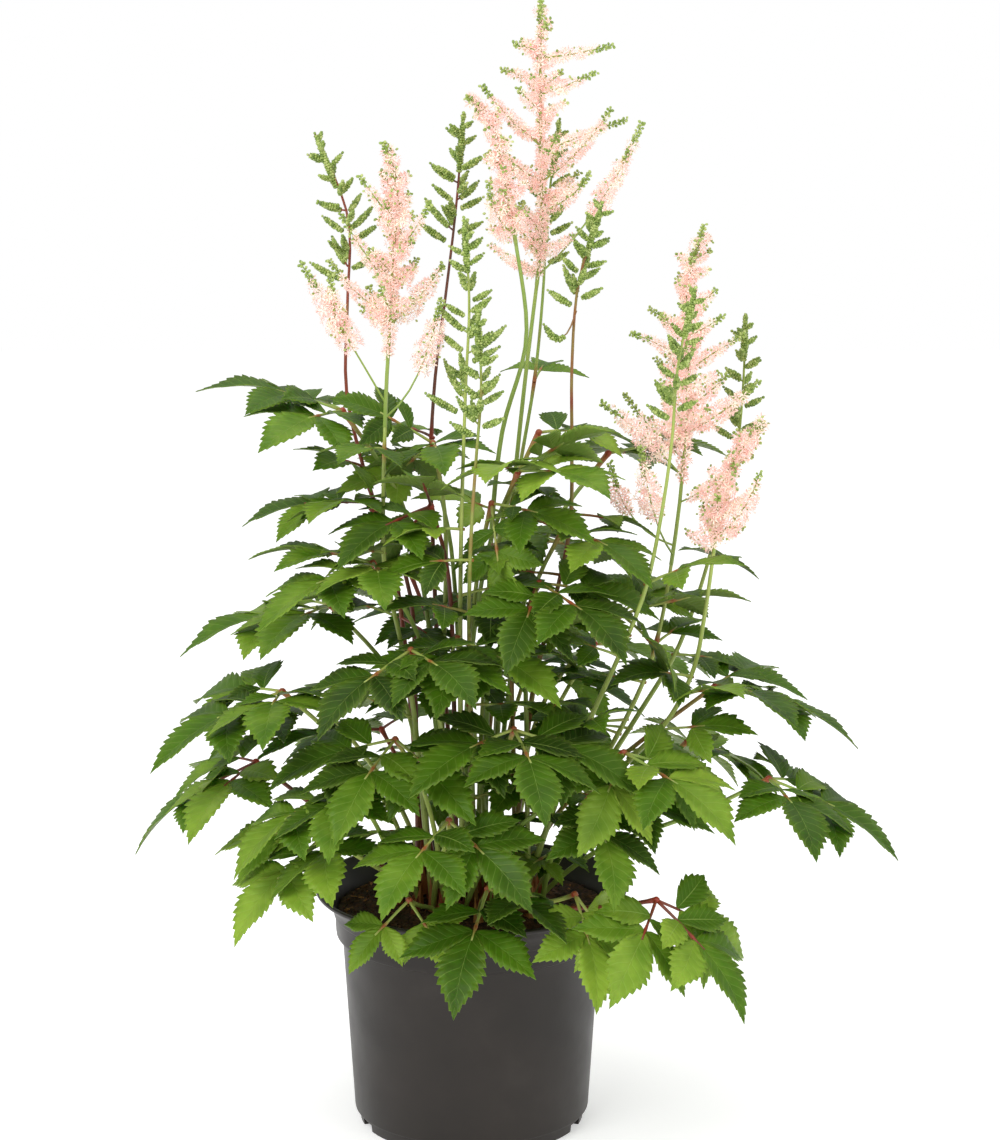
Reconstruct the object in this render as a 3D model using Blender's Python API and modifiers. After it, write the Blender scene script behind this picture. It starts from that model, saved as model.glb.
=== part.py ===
# Astilbe plant in its plastic nursery pot: pot, soil, flower stems, plumes and compound leaves.
# Lengths are given in millimetres and turned into metres by MM. The origin is the centre of the
# pot's underside, +Z is up, and -Y is the side that faces the viewer.
import math
import random

import bpy
import bmesh
from mathutils import Matrix, Vector
from mathutils.bvhtree import BVHTree
from mathutils.geometry import interpolate_bezier

MM = 0.001

# Pot, from the underside up: (radius, height) of its outer wall.
POT_FLOOR = 2.2
POT_STEPS = 24
POT_OUTSIDE = (
    (95.0, 148.0),
    (93.6, 144.6),
    (85.6, 137.0),
    (83.2, 131.0),
    (82.6, 119.5),
    (79.4, 117.4),
    (78.4, 112.0),
    (72.0, 8.5),
    (69.4, 7.0),
    (68.6, 0.0),
)
POT_INSIDE = (
    (68.0, POT_FLOOR),
    (70.5, 10.5),
    (76.9, 112.0),
    (81.8, 131.0),
    (84.2, 137.2),
    (92.9, 148.0),
)
DRAIN_NOTCHES = 8
NOTCH_SIZE = (12.0, 13.0, 5.4)

# Soil, a plug that fills the pot with a low uneven mound on top.
SOIL_EDGE = 133.0
SOIL_MOUND = 7.0
SOIL_GAP = 0.4
SOIL_RINGS = (0.0, 28.0, 56.0)
HOLE_DEPTH = 20.0
HOLE_CLEARANCE = 0.35
FOOT_SPACING = 8.2

# Leaves: every leaf is a petiole with three branches, and each branch ends in three leaflets.
BLADE = 0.7
PETIOLE_RADII = (1.75, 1.25)
PETIOLE_POINTS = 4
KNOB = 1.8
LEAFLET_LENGTH = 55.0
LEAFLET_WIDTH = 25.0
# (share of the length, share of the half width) of the points that stand out and of the one between
END_LEAFLET = {"teeth": ((0.42, 1.04), (0.76, 0.72)), "notch": (0.50, 0.80)}
SIDE_LEAFLET = {"teeth": ((0.40, 1.04),), "notch": (0.62, 0.84)}
BRANCH_LENGTH = 31.0
SIDE_BRANCH_ANGLE = 60.0
SIDE_LEAFLET_ANGLE = 64.0
CLEAR_THICKNESS = 2.3
CLEAR_GROWTH = 1.05
TRIES = 40

# (tier name, then azimuth, reach, height, pitch, size and branches of each leaf). Azimuth 0 is
# +X and 270 is towards the viewer; reach and height place the fork of the petiole.
LEAVES = (
    ("top", 176, 76, 440, 16, 1.00, 3),
    ("top", 318, 52, 408, 2, 0.98, 3),
    ("top", 235, 40, 390, -8, 0.95, 3),
    ("top", 12, 84, 412, 2, 0.90, 3),
    ("upper", 184, 84, 324, -8, 1.08, 3),
    ("upper", 222, 76, 360, -6, 1.00, 3),
    ("upper", 268, 64, 318, -14, 1.00, 3),
    ("upper", 304, 72, 350, -8, 1.00, 3),
    ("upper", 347, 92, 322, -8, 1.02, 3),
    ("upper", 55, 72, 350, -10, 1.00, 2),
    ("upper", 122, 72, 330, -10, 1.00, 2),
    ("middle", 200, 118, 280, -16, 1.05, 3),
    ("middle", 242, 92, 262, -20, 1.00, 3),
    ("middle", 286, 92, 270, -16, 1.05, 3),
    ("middle", 325, 116, 252, -20, 1.05, 3),
    ("middle", 2, 148, 272, -8, 1.08, 3),
    ("middle", 45, 108, 280, -16, 1.00, 2),
    ("middle", 152, 108, 250, -18, 1.00, 3),
    ("low", 181, 130, 226, -20, 1.05, 3),
    ("low", 218, 108, 200, -22, 0.98, 3),
    ("low", 277, 84, 172, -26, 1.05, 2),
    ("low", 246, 88, 164, -42, 0.62, 2),
    ("low", 303, 112, 172, -36, 0.90, 2),
    ("low", 328, 150, 172, -40, 1.00, 3),
    ("low", 352, 180, 222, -20, 1.05, 3),
    ("low", 18, 140, 226, -20, 1.00, 3),
    ("low", 100, 112, 202, -22, 1.00, 2),
    ("top", 212, 26, 424, -6, 0.86, 3),
    ("top", 292, 46, 394, -16, 0.90, 2),
    ("top", 348, 42, 430, 0, 0.86, 2),
    ("top", 130, 40, 404, -4, 0.86, 2),
    ("upper", 250, 98, 318, -18, 0.95, 2),
    ("upper", 326, 66, 378, -14, 0.92, 2),
    ("upper", 198, 62, 388, -10, 0.92, 2),
    ("middle", 264, 112, 222, -26, 0.95, 2),
    ("middle", 312, 104, 226, -20, 0.95, 2),
    ("middle", 228, 112, 236, -20, 0.95, 2),
    ("middle", 66, 84, 262, -8, 1.08, 3),
    ("upper", 90, 60, 300, 0, 1.05, 3),
    ("middle", 128, 92, 226, -10, 1.05, 3),
)
TIERS = {
    "top": {"foot": 15.0, "petiole_lean": 0.30},
    "upper": {"foot": 24.0, "petiole_lean": 0.34},
    "middle": {"foot": 33.0, "petiole_lean": 0.40},
    "low": {"foot": 42.0, "petiole_lean": 0.46},
}

# Flower stems. "path" runs from above the soil to the tip. The plume starts at "bloom" and has
# "count" side branches, the longest "reach" long and "thick" in radius. A spray is a branch of
# its own: its path, its radius, and the share of it that is bare stalk.
FLOWER_STEMS = (
    {
        "name": "tall",
        "path": ((20, -5, 327), (32, 0, 456), (38, 5, 506), (42, 8, 548), (41, 10, 617), (41, 10, 681)),
        "bloom": 516, "count": 10, "reach": 36, "thick": 6.0, "rise": 32, "pink": True,
        "sprays": (
            (((44, 8, 521), (78, -2, 556), (100, -8, 612)), 7.5, 0.42),
            (((43, 10, 596), (22, 5, 612), (7, 0, 632)), 4.8, 0.15),
            (((42, 10, 575), (66, 8, 592), (82, 6, 618)), 5.3, 0.15),
        ),
    },
    {
        "name": "tall_left",
        "path": (
            (14, -18, 400), (32, -24, 460), (32, -25, 498), (26, -28, 548),
            (18, -28, 589), (12, -28, 616), (-2, -30, 628),
        ),
        "bloom": 545, "count": 7, "reach": 15, "thick": 7.4, "rise": 50, "pink": True,
        "sprays": ((((26, -28, 549), (14, -34, 556), (11, -36, 580)), 7.4, 0.1),),
    },
    {
        "name": "left_pink",
        "path": (
            (-36, -24, 280), (-50, -34, 350), (-49, -42, 443), (-46, -45, 496),
            (-44, -45, 536), (-41, -45, 577), (-49, -45, 604),
        ),
        "bloom": 440, "count": 10, "reach": 25, "thick": 7.4, "rise": 40, "pink": True, "bare": 0.34,
        "sprays": (
            (((-48, -43, 452), (-68, -52, 490), (-96, -60, 537)), 9.2, 0.38),
            (((-70, -50, 492), (-78, -58, 500), (-79, -60, 530)), 8.0, 0.0),
            (((-46, -45, 499), (-32, -36, 508), (-15, -30, 532)), 8.0, 0.1),
            (((-48, -42, 444), (-27, -52, 462), (-16, -57, 516)), 8.7, 0.45),
        ),
    },
    {
        "name": "right_pink",
        "path": (
            (70, -12, 210), (106, -10, 285), (120, -5, 352), (126, 0, 405),
            (129, 5, 447), (127, 10, 488), (130, 15, 523), (138, 20, 549),
        ),
        "bloom": 350, "count": 11, "reach": 38, "thick": 7.2, "rise": 34, "pink": True, "bare": 0.34,
        "sprays": (
            (((125, 0, 402), (104, -14, 430), (76, -28, 451)), 8.6, 0.2),
            (((121, -5, 356), (106, -34, 378), (99, -45, 428)), 9.8, 0.42),
            (((121, -4, 360), (90, -14, 372), (82, -20, 414)), 7.1, 0.5),
            (((128, 5, 428), (150, 12, 436), (172, 16, 456)), 8.0, 0.1),
        ),
    },
    {
        "name": "right_low_pink",
        "path": (
            (80, -24, 215), (124, -28, 268), (135, -31, 307), (140, -34, 339),
            (144, -36, 375), (146, -36, 400), (158, -34, 424), (173, -32, 440),
        ),
        "bloom": 364, "count": 6, "reach": 20, "thick": 8.4, "rise": 42, "pink": True,
        "sprays": ((((144, -36, 372), (160, -46, 385), (168, -52, 414)), 8.3, 0.15),),
    },
    {
        "name": "left_buds",
        "path": (
            (-44, 14, 330), (-72, 20, 430), (-73, 22, 504), (-70, 22, 527),
            (-72, 20, 552), (-78, 20, 577), (-91, 20, 602),
        ),
        "bloom": 512, "count": 7, "reach": 30, "thick": 2.6, "rise": 24, "pink": False, "sprays": (),
    },
    {
        "name": "middle_left_buds",
        "path": (
            (-22, 20, 330), (-24, 28, 420), (-17, 30, 491), (-9, 30, 544),
            (-8, 30, 580), (-4, 30, 613),
        ),
        "bloom": 534, "count": 7, "reach": 27, "thick": 2.6, "rise": 26, "pink": False, "sprays": (),
    },
    {
        "name": "middle_buds",
        "path": (
            (-6, -34, 280), (-5, -56, 380), (-3, -60, 440), (-2, -60, 469),
            (0, -60, 521), (-3, -60, 562),
        ),
        "bloom": 446, "count": 8, "reach": 31, "thick": 2.6, "rise": 28, "pink": False, "sprays": (),
    },
    {
        "name": "front_buds",
        "path": ((0, -42, 270), (0, -80, 360), (4, -92, 430), (6, -94, 455), (7, -95, 480), (5, -96, 514)),
        "bloom": 440, "count": 7, "reach": 20, "thick": 2.3, "rise": 34, "pink": False, "sprays": (),
    },
    {
        "name": "right_middle_buds",
        "path": (
            (38, -20, 280), (58, -28, 370), (59, -30, 464), (62, -30, 514),
            (68, -30, 545), (76, -30, 567),
        ),
        "bloom": 505, "count": 7, "reach": 22, "thick": 2.6, "rise": 34, "pink": False,
        "sprays": ((((59, -30, 462), (54, -36, 478), (43, -40, 498)), 2.6, 0.5),),
    },
    {
        "name": "back_buds",
        "path": ((20, 26, 330), (38, 42, 450), (43, 45, 500), (45, 45, 543), (49, 46, 586), (53, 46, 608)),
        "bloom": 512, "count": 7, "reach": 24, "thick": 2.6, "rise": 30, "pink": False, "sprays": (),
    },
    {
        "name": "right_front_buds",
        "path": (
            (58, -34, 230), (98, -62, 335), (110, -72, 392), (117, -74, 450),
            (119, -74, 487), (122, -74, 510), (128, -74, 524),
        ),
        "bloom": 446, "count": 6, "reach": 19, "thick": 2.4, "rise": 32, "pink": False, "sprays": (),
    },
    {
        "name": "far_right_buds",
        "path": (
            (84, 22, 220), (128, 38, 290), (148, 52, 352), (160, 58, 395),
            (165, 60, 436), (166, 60, 489),
        ),
        "bloom": 410, "count": 7, "reach": 20, "thick": 2.4, "rise": 30, "pink": False, "sprays": (),
    },
)
STEM_RADII = (2.0, 1.1)
STEM_POINTS = 8
CAULINE_LEAVES = {
    "tall": (315, 384), "left_pink": (250, 425), "left_buds": (160, 388), "middle_left_buds": (130, 420),
    "right_pink": (60, 300), "back_buds": (75, 452), "right_middle_buds": (345, 384),
}
CAULINE_SIZE = 0.72
BRANCH_CLEARANCE = 0.9

COLOURS = {
    "pot_plastic": ((0.075, 0.070, 0.068), 0.42),
    "potting_soil": ((0.060, 0.030, 0.018), 0.95),
    "leaf_green": ((0.060, 0.170, 0.022), 0.45),
    "stem_green": ((0.180, 0.260, 0.050), 0.50),
    "bud_green": ((0.200, 0.300, 0.055), 0.55),
    "petal_pink": ((0.830, 0.480, 0.450), 0.70),
}


# Scene and materials

def clear_scene():
    for item in list(bpy.data.objects):
        bpy.data.objects.remove(item)


def new_collection(name):
    collection = bpy.data.collections.new(name)
    bpy.context.scene.collection.children.link(collection)
    return collection


def make_materials():
    made = {}
    for name, (colour, roughness) in COLOURS.items():
        material = bpy.data.materials.new(name)
        material.use_nodes = True
        shader = material.node_tree.nodes["Principled BSDF"]
        shader.inputs["Base Color"].default_value = (*colour, 1.0)
        shader.inputs["Roughness"].default_value = roughness
        made[name] = material
    return made


# Mesh helpers

def mesh_object(name, vertices, faces, collection):
    """A closed mesh from millimetre points, with its faces turned outwards."""
    mesh = bpy.data.meshes.new(name)
    mesh.from_pydata([Vector(v) * MM for v in vertices], [], faces)
    shell = bmesh.new()
    shell.from_mesh(mesh)
    bmesh.ops.recalc_face_normals(shell, faces=shell.faces)
    shell.to_mesh(mesh)
    shell.free()
    made = bpy.data.objects.new(name, mesh)
    collection.objects.link(made)
    return made


def settled_mesh(item):
    """The object's mesh with its modifiers applied."""
    bpy.context.view_layer.update()
    graph = bpy.context.evaluated_depsgraph_get()
    return bpy.data.meshes.new_from_object(item.evaluated_get(graph))


def fuse(name, pieces, material, collection):
    """One Boolean union of the pieces, as a new object with one material."""
    base = pieces[0]
    rest = bpy.data.collections.new(name + "_pieces")
    bpy.context.scene.collection.children.link(rest)
    for piece in pieces[1:]:
        collection.objects.unlink(piece)
        rest.objects.link(piece)
    if len(pieces) > 1:
        union = base.modifiers.new("union", "BOOLEAN")
        union.operation = "UNION"
        union.operand_type = "COLLECTION"
        union.collection = rest
        union.solver = "MANIFOLD"
    mesh = settled_mesh(base)
    for piece in pieces:
        bpy.data.objects.remove(piece)
    bpy.data.collections.remove(rest)
    mesh.materials.clear()
    mesh.materials.append(material)
    mesh.name = name
    made = bpy.data.objects.new(name, mesh)
    collection.objects.link(made)
    return made


def tube_object(name, points, radii, collection):
    """A four-sided stalk along the points, as a welded mesh, with a radius for each point."""
    curve = bpy.data.curves.new(name, "CURVE")
    curve.dimensions = "3D"
    curve.bevel_depth = MM
    curve.bevel_resolution = 0
    curve.use_fill_caps = True
    spline = curve.splines.new("POLY")
    spline.points.add(len(points) - 1)
    for i, point in enumerate(points):
        spline.points[i].co = (*(Vector(point) * MM), 1.0)
        spline.points[i].radius = radii[i]
    shape = bpy.data.objects.new(name + "_curve", curve)
    collection.objects.link(shape)
    mesh = settled_mesh(shape)
    bpy.data.objects.remove(shape)
    shell = bmesh.new()
    shell.from_mesh(mesh)
    bmesh.ops.remove_doubles(shell, verts=shell.verts, dist=0.02 * MM)
    shell.to_mesh(mesh)
    shell.free()
    made = bpy.data.objects.new(name, mesh)
    collection.objects.link(made)
    return made


def across(direction, angle):
    """A unit vector square to the direction, turned about it by the angle."""
    direction = Vector(direction).normalized()
    side = direction.cross(Vector((0.31, 0.17, 0.93))).normalized()
    return Matrix.Rotation(angle, 3, direction) @ side


def loft(points, radii, sides, bump=0.0, taper_end=True):
    """Vertices and faces of a closed tube. With a bump, its points stand out in turn like florets."""
    vertices, faces = [], []
    rings = len(points)
    for i, point in enumerate(points):
        before, after = points[max(i - 1, 0)], points[min(i + 1, rings - 1)]
        along = (Vector(after) - Vector(before)).normalized()
        first = across(along, 0.0)
        second = along.cross(first)
        for k in range(sides):
            turn = 2 * math.pi * k / sides
            lifted = 1 + (bump if (i + k) % 2 else -bump) if 0 < i else 1
            out = first * math.cos(turn) + second * math.sin(turn)
            vertices.append(Vector(point) + out * radii[i] * lifted)
    for i in range(rings - 1):
        for k in range(sides):
            a, b = i * sides + k, i * sides + (k + 1) % sides
            if (i + k) % 2:
                faces += [(a, b, a + sides), (b, b + sides, a + sides)]
            else:
                faces += [(a, b, b + sides), (a, b + sides, a + sides)]
    faces.append(tuple(reversed(range(sides))))
    last = (rings - 1) * sides
    if taper_end:
        along = (Vector(points[-1]) - Vector(points[-2])).normalized()
        vertices.append(Vector(points[-1]) + along * radii[-1] * 1.2)
        faces += [(last + k, last + (k + 1) % sides, len(vertices) - 1) for k in range(sides)]
    else:
        faces.append(tuple(last + k for k in range(sides)))
    return vertices, faces


def tapered(radii, count):
    """Radii that go evenly from the first to the last."""
    return [radii[0] + (radii[1] - radii[0]) * i / (count - 1) for i in range(count)]


def tree_of(vertices, faces):
    return BVHTree.FromPolygons([Vector(v) for v in vertices], faces)


def tree_of_object(item):
    mesh = item.data
    return tree_of([v.co / MM for v in mesh.vertices], [tuple(p.vertices) for p in mesh.polygons])


def clear_of(tree, others):
    return not any(tree.overlap(other) for other in others)


# Curves

def along_bezier(start, pull_start, pull_end, end, count):
    return interpolate_bezier(start, pull_start, pull_end, end, count)


def bend(start, via, end, count):
    """Points of a quadratic curve that leaves start and heads for end past via."""
    start, via, end = Vector(start), Vector(via), Vector(end)
    return along_bezier(start, start.lerp(via, 2 / 3), end.lerp(via, 2 / 3), end, count)


def smooth_path(knots, count):
    """Evenly spaced points of a smooth curve through the knots."""
    knots = [Vector(k) for k in knots]
    fine = []
    for i in range(len(knots) - 1):
        before, after = knots[max(i - 1, 0)], knots[min(i + 2, len(knots) - 1)]
        a, b = knots[i], knots[i + 1]
        fine += along_bezier(a, a + (b - before) / 6, b - (after - a) / 6, b, 9)[:-1]
    fine.append(knots[-1])
    return evenly(fine, count)


def evenly(points, count):
    """The line through the points, as evenly spaced points."""
    lengths = [0.0]
    for a, b in zip(points, points[1:]):
        lengths.append(lengths[-1] + (b - a).length)
    out = []
    for k in range(count):
        target = lengths[-1] * k / (count - 1)
        i = next((n for n in range(1, len(points)) if lengths[n] >= target - 1e-9), len(points) - 1)
        share = (target - lengths[i - 1]) / max(lengths[i] - lengths[i - 1], 1e-9)
        out.append(points[i - 1].lerp(points[i], min(max(share, 0.0), 1.0)))
    return out


def cut_at_height(points, height):
    """The points below and those above a height, both with the point at it."""
    for i in range(len(points) - 1):
        if points[i].z <= height < points[i + 1].z:
            share = (height - points[i].z) / (points[i + 1].z - points[i].z)
            middle = points[i].lerp(points[i + 1], share)
            return points[: i + 1] + [middle], [middle] + points[i + 1:]
    raise ValueError("the path never passes that height")


# Pot

def turned(name, profile, steps, collection):
    """A solid of revolution from a profile of (radius, height) that runs down its outer side."""
    mesh = bpy.data.meshes.new(name + "_profile")
    points = [(r * MM, 0, z * MM) for r, z in profile]
    mesh.from_pydata(points, [(i, i + 1) for i in range(len(points) - 1)], [])
    made = bpy.data.objects.new(name, mesh)
    collection.objects.link(made)
    screw = made.modifiers.new("turn", "SCREW")
    screw.steps = steps
    screw.render_steps = steps
    screw.use_merge_vertices = True
    screw.merge_threshold = 0.00005
    screw.use_smooth_shade = False
    return made


def make_pot(collection, cutters, material):
    profile = [(0.0, POT_FLOOR), *POT_INSIDE, *POT_OUTSIDE, (0.0, 0.0)]
    pot = turned("pot", profile, POT_STEPS, collection)
    for k in range(DRAIN_NOTCHES):
        turn = 2 * math.pi * (k + 0.5 / 3 + 1 / 3) / DRAIN_NOTCHES
        shell = bmesh.new()
        bmesh.ops.create_cube(shell, size=MM)
        bmesh.ops.scale(shell, vec=NOTCH_SIZE, verts=shell.verts)
        move = Matrix.Rotation(turn, 4, "Z") @ Matrix.Translation((68.0 * MM, 0, 1.6 * MM))
        shell.transform(move)
        mesh = bpy.data.meshes.new("drain_notch")
        shell.to_mesh(mesh)
        shell.free()
        cutters.objects.link(bpy.data.objects.new(f"drain_notch_{k + 1}", mesh))
    return cut_by(pot, "pot", cutters, material, collection)


def cut_by(item, name, cutters, material, collection):
    """The object less every cutter in the collection; the cutters are removed."""
    cut = item.modifiers.new("cut", "BOOLEAN")
    cut.operation = "DIFFERENCE"
    cut.operand_type = "COLLECTION"
    cut.collection = cutters
    cut.solver = "MANIFOLD"
    mesh = settled_mesh(item)
    bpy.data.objects.remove(item)
    for cutter in list(cutters.objects):
        bpy.data.objects.remove(cutter)
    mesh.materials.clear()
    mesh.materials.append(material)
    mesh.name = name
    made = bpy.data.objects.new(name, mesh)
    collection.objects.link(made)
    return made


# Soil

def soil_height(x, y):
    """Height of the soil's top, a low mound with clods."""
    distance = math.hypot(x, y)
    mound = SOIL_MOUND * (1 - (distance / 82.0) ** 2)
    clods = 0.9 * math.sin(0.21 * x + 1.3) * math.cos(0.17 * y - 0.4) + 0.6 * math.sin(0.37 * y + 0.29 * x)
    return SOIL_EDGE + mound + clods


def make_soil(collection, cutters, feet, material):
    wall = [(r - SOIL_GAP, z) for r, z in POT_INSIDE if POT_FLOOR < z < SOIL_EDGE]
    rim = (wall[-1][0] + 0.5, SOIL_EDGE)
    foot = [(POT_INSIDE[0][0] - SOIL_GAP, POT_FLOOR + SOIL_GAP), (0.0, POT_FLOOR + SOIL_GAP)]
    profile = [(r, SOIL_EDGE) for r in SOIL_RINGS] + [rim] + wall[::-1] + foot
    soil = turned("soil_profile", profile, POT_STEPS, collection)
    mesh = settled_mesh(soil)
    bpy.data.objects.remove(soil)
    rim_radius = rim[0] - 1
    for vertex in mesh.vertices:
        x, y, z = vertex.co / MM
        if abs(z - SOIL_EDGE) < 0.01 and math.hypot(x, y) < rim_radius:
            vertex.co.z = soil_height(x, y) * MM
    soil = bpy.data.objects.new("soil_block", mesh)
    collection.objects.link(soil)
    for k, (place, radius) in enumerate(feet):
        top = soil_height(*place)
        ends = [(*place, top - HOLE_DEPTH), (*place, top + 12)]
        hole = radius + HOLE_CLEARANCE
        vertices, faces = loft(ends, (hole * 1.45, hole * 1.45), 4, taper_end=False)
        mesh_object(f"stem_hole_{k + 1}", vertices, faces, cutters)
    return cut_by(soil, "soil", cutters, material, collection)


# Where the stems leave the soil

def free_foot(azimuth, radius, feet):
    """The nearest free place in the crown to the wanted one; it is added to the feet."""
    for k in range(200):
        turn = math.radians(azimuth) + 0.16 * (-1) ** k * ((k + 1) // 2 % 6)
        away = radius + 2.0 * (k // 11) * (-1) ** (k // 11)
        place = (away * math.cos(turn), away * math.sin(turn))
        if all(math.dist(place, other) > FOOT_SPACING for other, _ in feet):
            return place
    raise ValueError("the crown is full")


# Leaves

def leaflet_rows(start, heading, normal, length, width, droop, outline):
    """Edge points and tooth tips of one leaflet, which arches down along its length."""
    side = normal.cross(heading).normalized()
    arc = math.radians(droop)

    def centre(share):
        angle = arc * share
        ahead = math.sin(angle) / arc * length
        below = (1 - math.cos(angle)) / arc * length
        up = normal * math.cos(angle) + heading * math.sin(angle)
        return start + heading * ahead - normal * below, up

    def pair(share, half):
        middle, up = centre(share)
        return middle + side * half * width / 2, middle - side * half * width / 2, up

    teeth = [pair(*tooth)[:2] for tooth in outline["teeth"]]
    return pair(*outline["notch"]), teeth, centre(1.0)[0]


def add_leaflet(build, base, heading, normal, length, width, droop, blade, outline):
    """Adds one toothed blade that grows from the two base points (each a top and a bottom one)."""
    vertices, faces = build
    left, right = base
    start = (vertices[left[0]] + vertices[left[1]] + vertices[right[0]] + vertices[right[1]]) / 4
    (a, b, up), teeth, tip = leaflet_rows(start, heading, normal, length, width, droop, outline)
    first = len(vertices)
    vertices.extend((a + up * blade / 2, a - up * blade / 2, b + up * blade / 2, b - up * blade / 2))
    columns = [(left, right), ((first, first + 1), (first + 2, first + 3))]
    end = len(vertices)
    vertices.append(tip)
    (l0, r0), (l1, r1) = columns
    for k, turn in ((0, 1), (1, -1)):
        faces.extend(f[::turn] for f in ((l0[k], r0[k], r1[k]), (l0[k], r1[k], l1[k])))
    l0, r0 = l1, r1
    faces.append((l0[0], r0[0], end))
    faces.append((end, r0[1], l0[1]))
    edges = columns + [((end, end), (end, end))]
    for i in range(len(columns)):
        for side in (0, 1):
            near, far = edges[i][side], edges[i + 1][side]
            around = ((near[0], far[0], far[1]), (near[0], far[1], near[1]))
            if i < len(teeth):
                point = len(vertices)
                vertices.append(teeth[i][side])
                around = (
                    (near[0], far[0], point), (near[1], point, far[1]),
                    (near[0], point, near[1]), (far[0], far[1], point),
                )
            # the blade closes to one point at its tip, so a face there has two equal corners
            around = [f if side else f[::-1] for f in around if len(set(f)) == 3]
            faces.extend(around)


def branch_of_three(origin, heading, normal, stalk, size, thick, grow=1.0):
    """A flat stalk with a leaflet at its end and one on each side, as one closed blade."""
    side = normal.cross(heading).normalized()
    half = 0.75 if grow == 1.0 else 1.2
    vertices, faces = [], []

    def add(ahead, left, up):
        centre = origin + heading * ahead + side * left
        vertices.extend((centre + normal * up, centre - normal * up))
        return len(vertices) - 2, len(vertices) - 1

    start = 0.0 if grow == 1.0 else stalk * 0.35
    root_left, root_right = add(start, half, 0.62), add(start, -half, 0.62)
    hub_left, hub_right = add(stalk, half, thick / 2), add(stalk, -half, thick / 2)
    end_left, end_right = add(stalk + 2.6, half, thick / 2), add(stalk + 2.6, -half, thick / 2)
    for a, b, c, d in (
        (root_left, root_right, hub_right, hub_left),
        (hub_left, hub_right, end_right, end_left),
    ):
        faces += [(a[0], b[0], c[0]), (a[0], c[0], d[0]), (a[1], c[1], b[1]), (a[1], d[1], c[1])]
    faces += [
        (root_left[0], hub_left[0], hub_left[1]), (root_left[0], hub_left[1], root_left[1]),
        (root_right[0], hub_right[1], hub_right[0]), (root_right[0], root_right[1], hub_right[1]),
        (root_left[0], root_left[1], root_right[1]), (root_left[0], root_right[1], root_right[0]),
    ]
    build = (vertices, faces)
    length, width = LEAFLET_LENGTH * size * grow, LEAFLET_WIDTH * size * grow
    ends = (end_left, end_right)
    add_leaflet(build, ends, heading, normal, length, width, 34, thick, END_LEAFLET)
    for sign, base in ((1, (hub_left, end_left)), (-1, (end_right, hub_right))):
        turned_out = Matrix.Rotation(math.radians(sign * SIDE_LEAFLET_ANGLE), 3, normal) @ heading
        shorter, slimmer = length * 0.80, width * 0.84
        add_leaflet(build, base, turned_out, normal, shorter, slimmer, 30, thick, SIDE_LEAFLET)
    return vertices, faces


def turned_frame(heading, normal, pitch, twist, swing):
    """The frame turned up by pitch, about itself by twist and sideways by swing, in degrees."""
    side = normal.cross(heading).normalized()
    swing_by = Matrix.Rotation(math.radians(swing), 3, normal)
    pitch_by = Matrix.Rotation(math.radians(-pitch), 3, side)
    twist_by = Matrix.Rotation(math.radians(twist), 3, heading)
    turn = swing_by @ pitch_by @ twist_by
    return (turn @ heading).normalized(), (turn @ normal).normalized()


def place_branch(seed, origin, heading, normal, stalk, size, others, own):
    """The first of the seeded bends whose leaflets are clear of everything else, or None."""
    draw = random.Random(seed)
    for k in range(TRIES):
        reach = 8 + 1.1 * k
        pitch, twist, swing = (draw.uniform(-reach, reach) for _ in range(3))
        shrink = 1.0 - 0.008 * k
        ahead, up = turned_frame(heading, normal, pitch, twist, swing * 0.7)
        vertices, faces = branch_of_three(origin, ahead, up, stalk, size * shrink, CLEAR_THICKNESS, CLEAR_GROWTH)
        tree = tree_of(vertices, faces)
        if clear_of(tree, others) and clear_of(tree, own):
            return ahead, up, size * shrink, tree
    return None


def leaf_petiole(leaf, feet, others):
    """The foot and the points of a petiole that is clear of what stands already."""
    tier, azimuth, reach, height, pitch, size, _ = leaf
    lean = TIERS[tier]["petiole_lean"]
    for k in range(240):
        around = 17.0 * (-1) ** (k // 40) * ((k // 40 + 1) // 2)
        foot = free_foot(azimuth + around, TIERS[tier]["foot"], feet)
        ground = soil_height(*foot)
        shift = (-1) ** k * ((k % 20 + 1) // 2)
        turn = math.radians(azimuth + 1.5 * shift)
        fork = Vector((reach * math.cos(turn), reach * math.sin(turn), height + 5.0 * (k // 20 % 2)))
        start = Vector((*foot, ground - HOLE_DEPTH + 1.5))
        out = Vector((math.cos(turn), math.sin(turn), 0))
        rise = height - ground
        knee = start + Vector((0, 0, HOLE_DEPTH + rise * 0.42)) + out * reach * 0.06
        knee += Vector((-out.y, out.x, 0)) * (1.6 * shift)
        arrive = (out * (1 - lean) + Vector((0, 0, lean + 0.12))).normalized()
        shoulder = fork - arrive * min(rise * 0.38, reach * 0.8)
        inside = Vector((*foot, ground + 1.0))
        points = [start] + along_bezier(inside, knee, shoulder, fork, PETIOLE_POINTS)
        fat, faces = loft(points, [2.4] * len(points), 5, taper_end=False)
        if clear_of(tree_of(fat, faces), others):
            return foot, points, turn
    raise ValueError(f"no way up for the leaf at {azimuth} degrees")


def petiole_line(points):
    """The petiole's points with the knob at its fork, and their radii."""
    along = (points[-1] - points[-2]).normalized()
    knob = [points[-1] - along * 4.5, points[-1] - along * KNOB, points[-1] + along * KNOB]
    return points[:-1] + knob, tapered(PETIOLE_RADII, len(points)) + [KNOB * 1.25] * 2


def place_petioles(feet, others):
    """For each leaf, the points and the azimuth of its petiole, and the tree of its shape."""
    placed = []
    for leaf in LEAVES:
        foot, points, turn = leaf_petiole(leaf, feet, others + [tree for _, _, tree in placed])
        feet.append((foot, PETIOLE_RADII[0]))
        line, radii = petiole_line(points)
        vertices, faces = loft(line, [r * 1.15 for r in radii], 5, taper_end=False)
        placed.append((points, turn, tree_of(vertices, faces)))
    return placed


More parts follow.
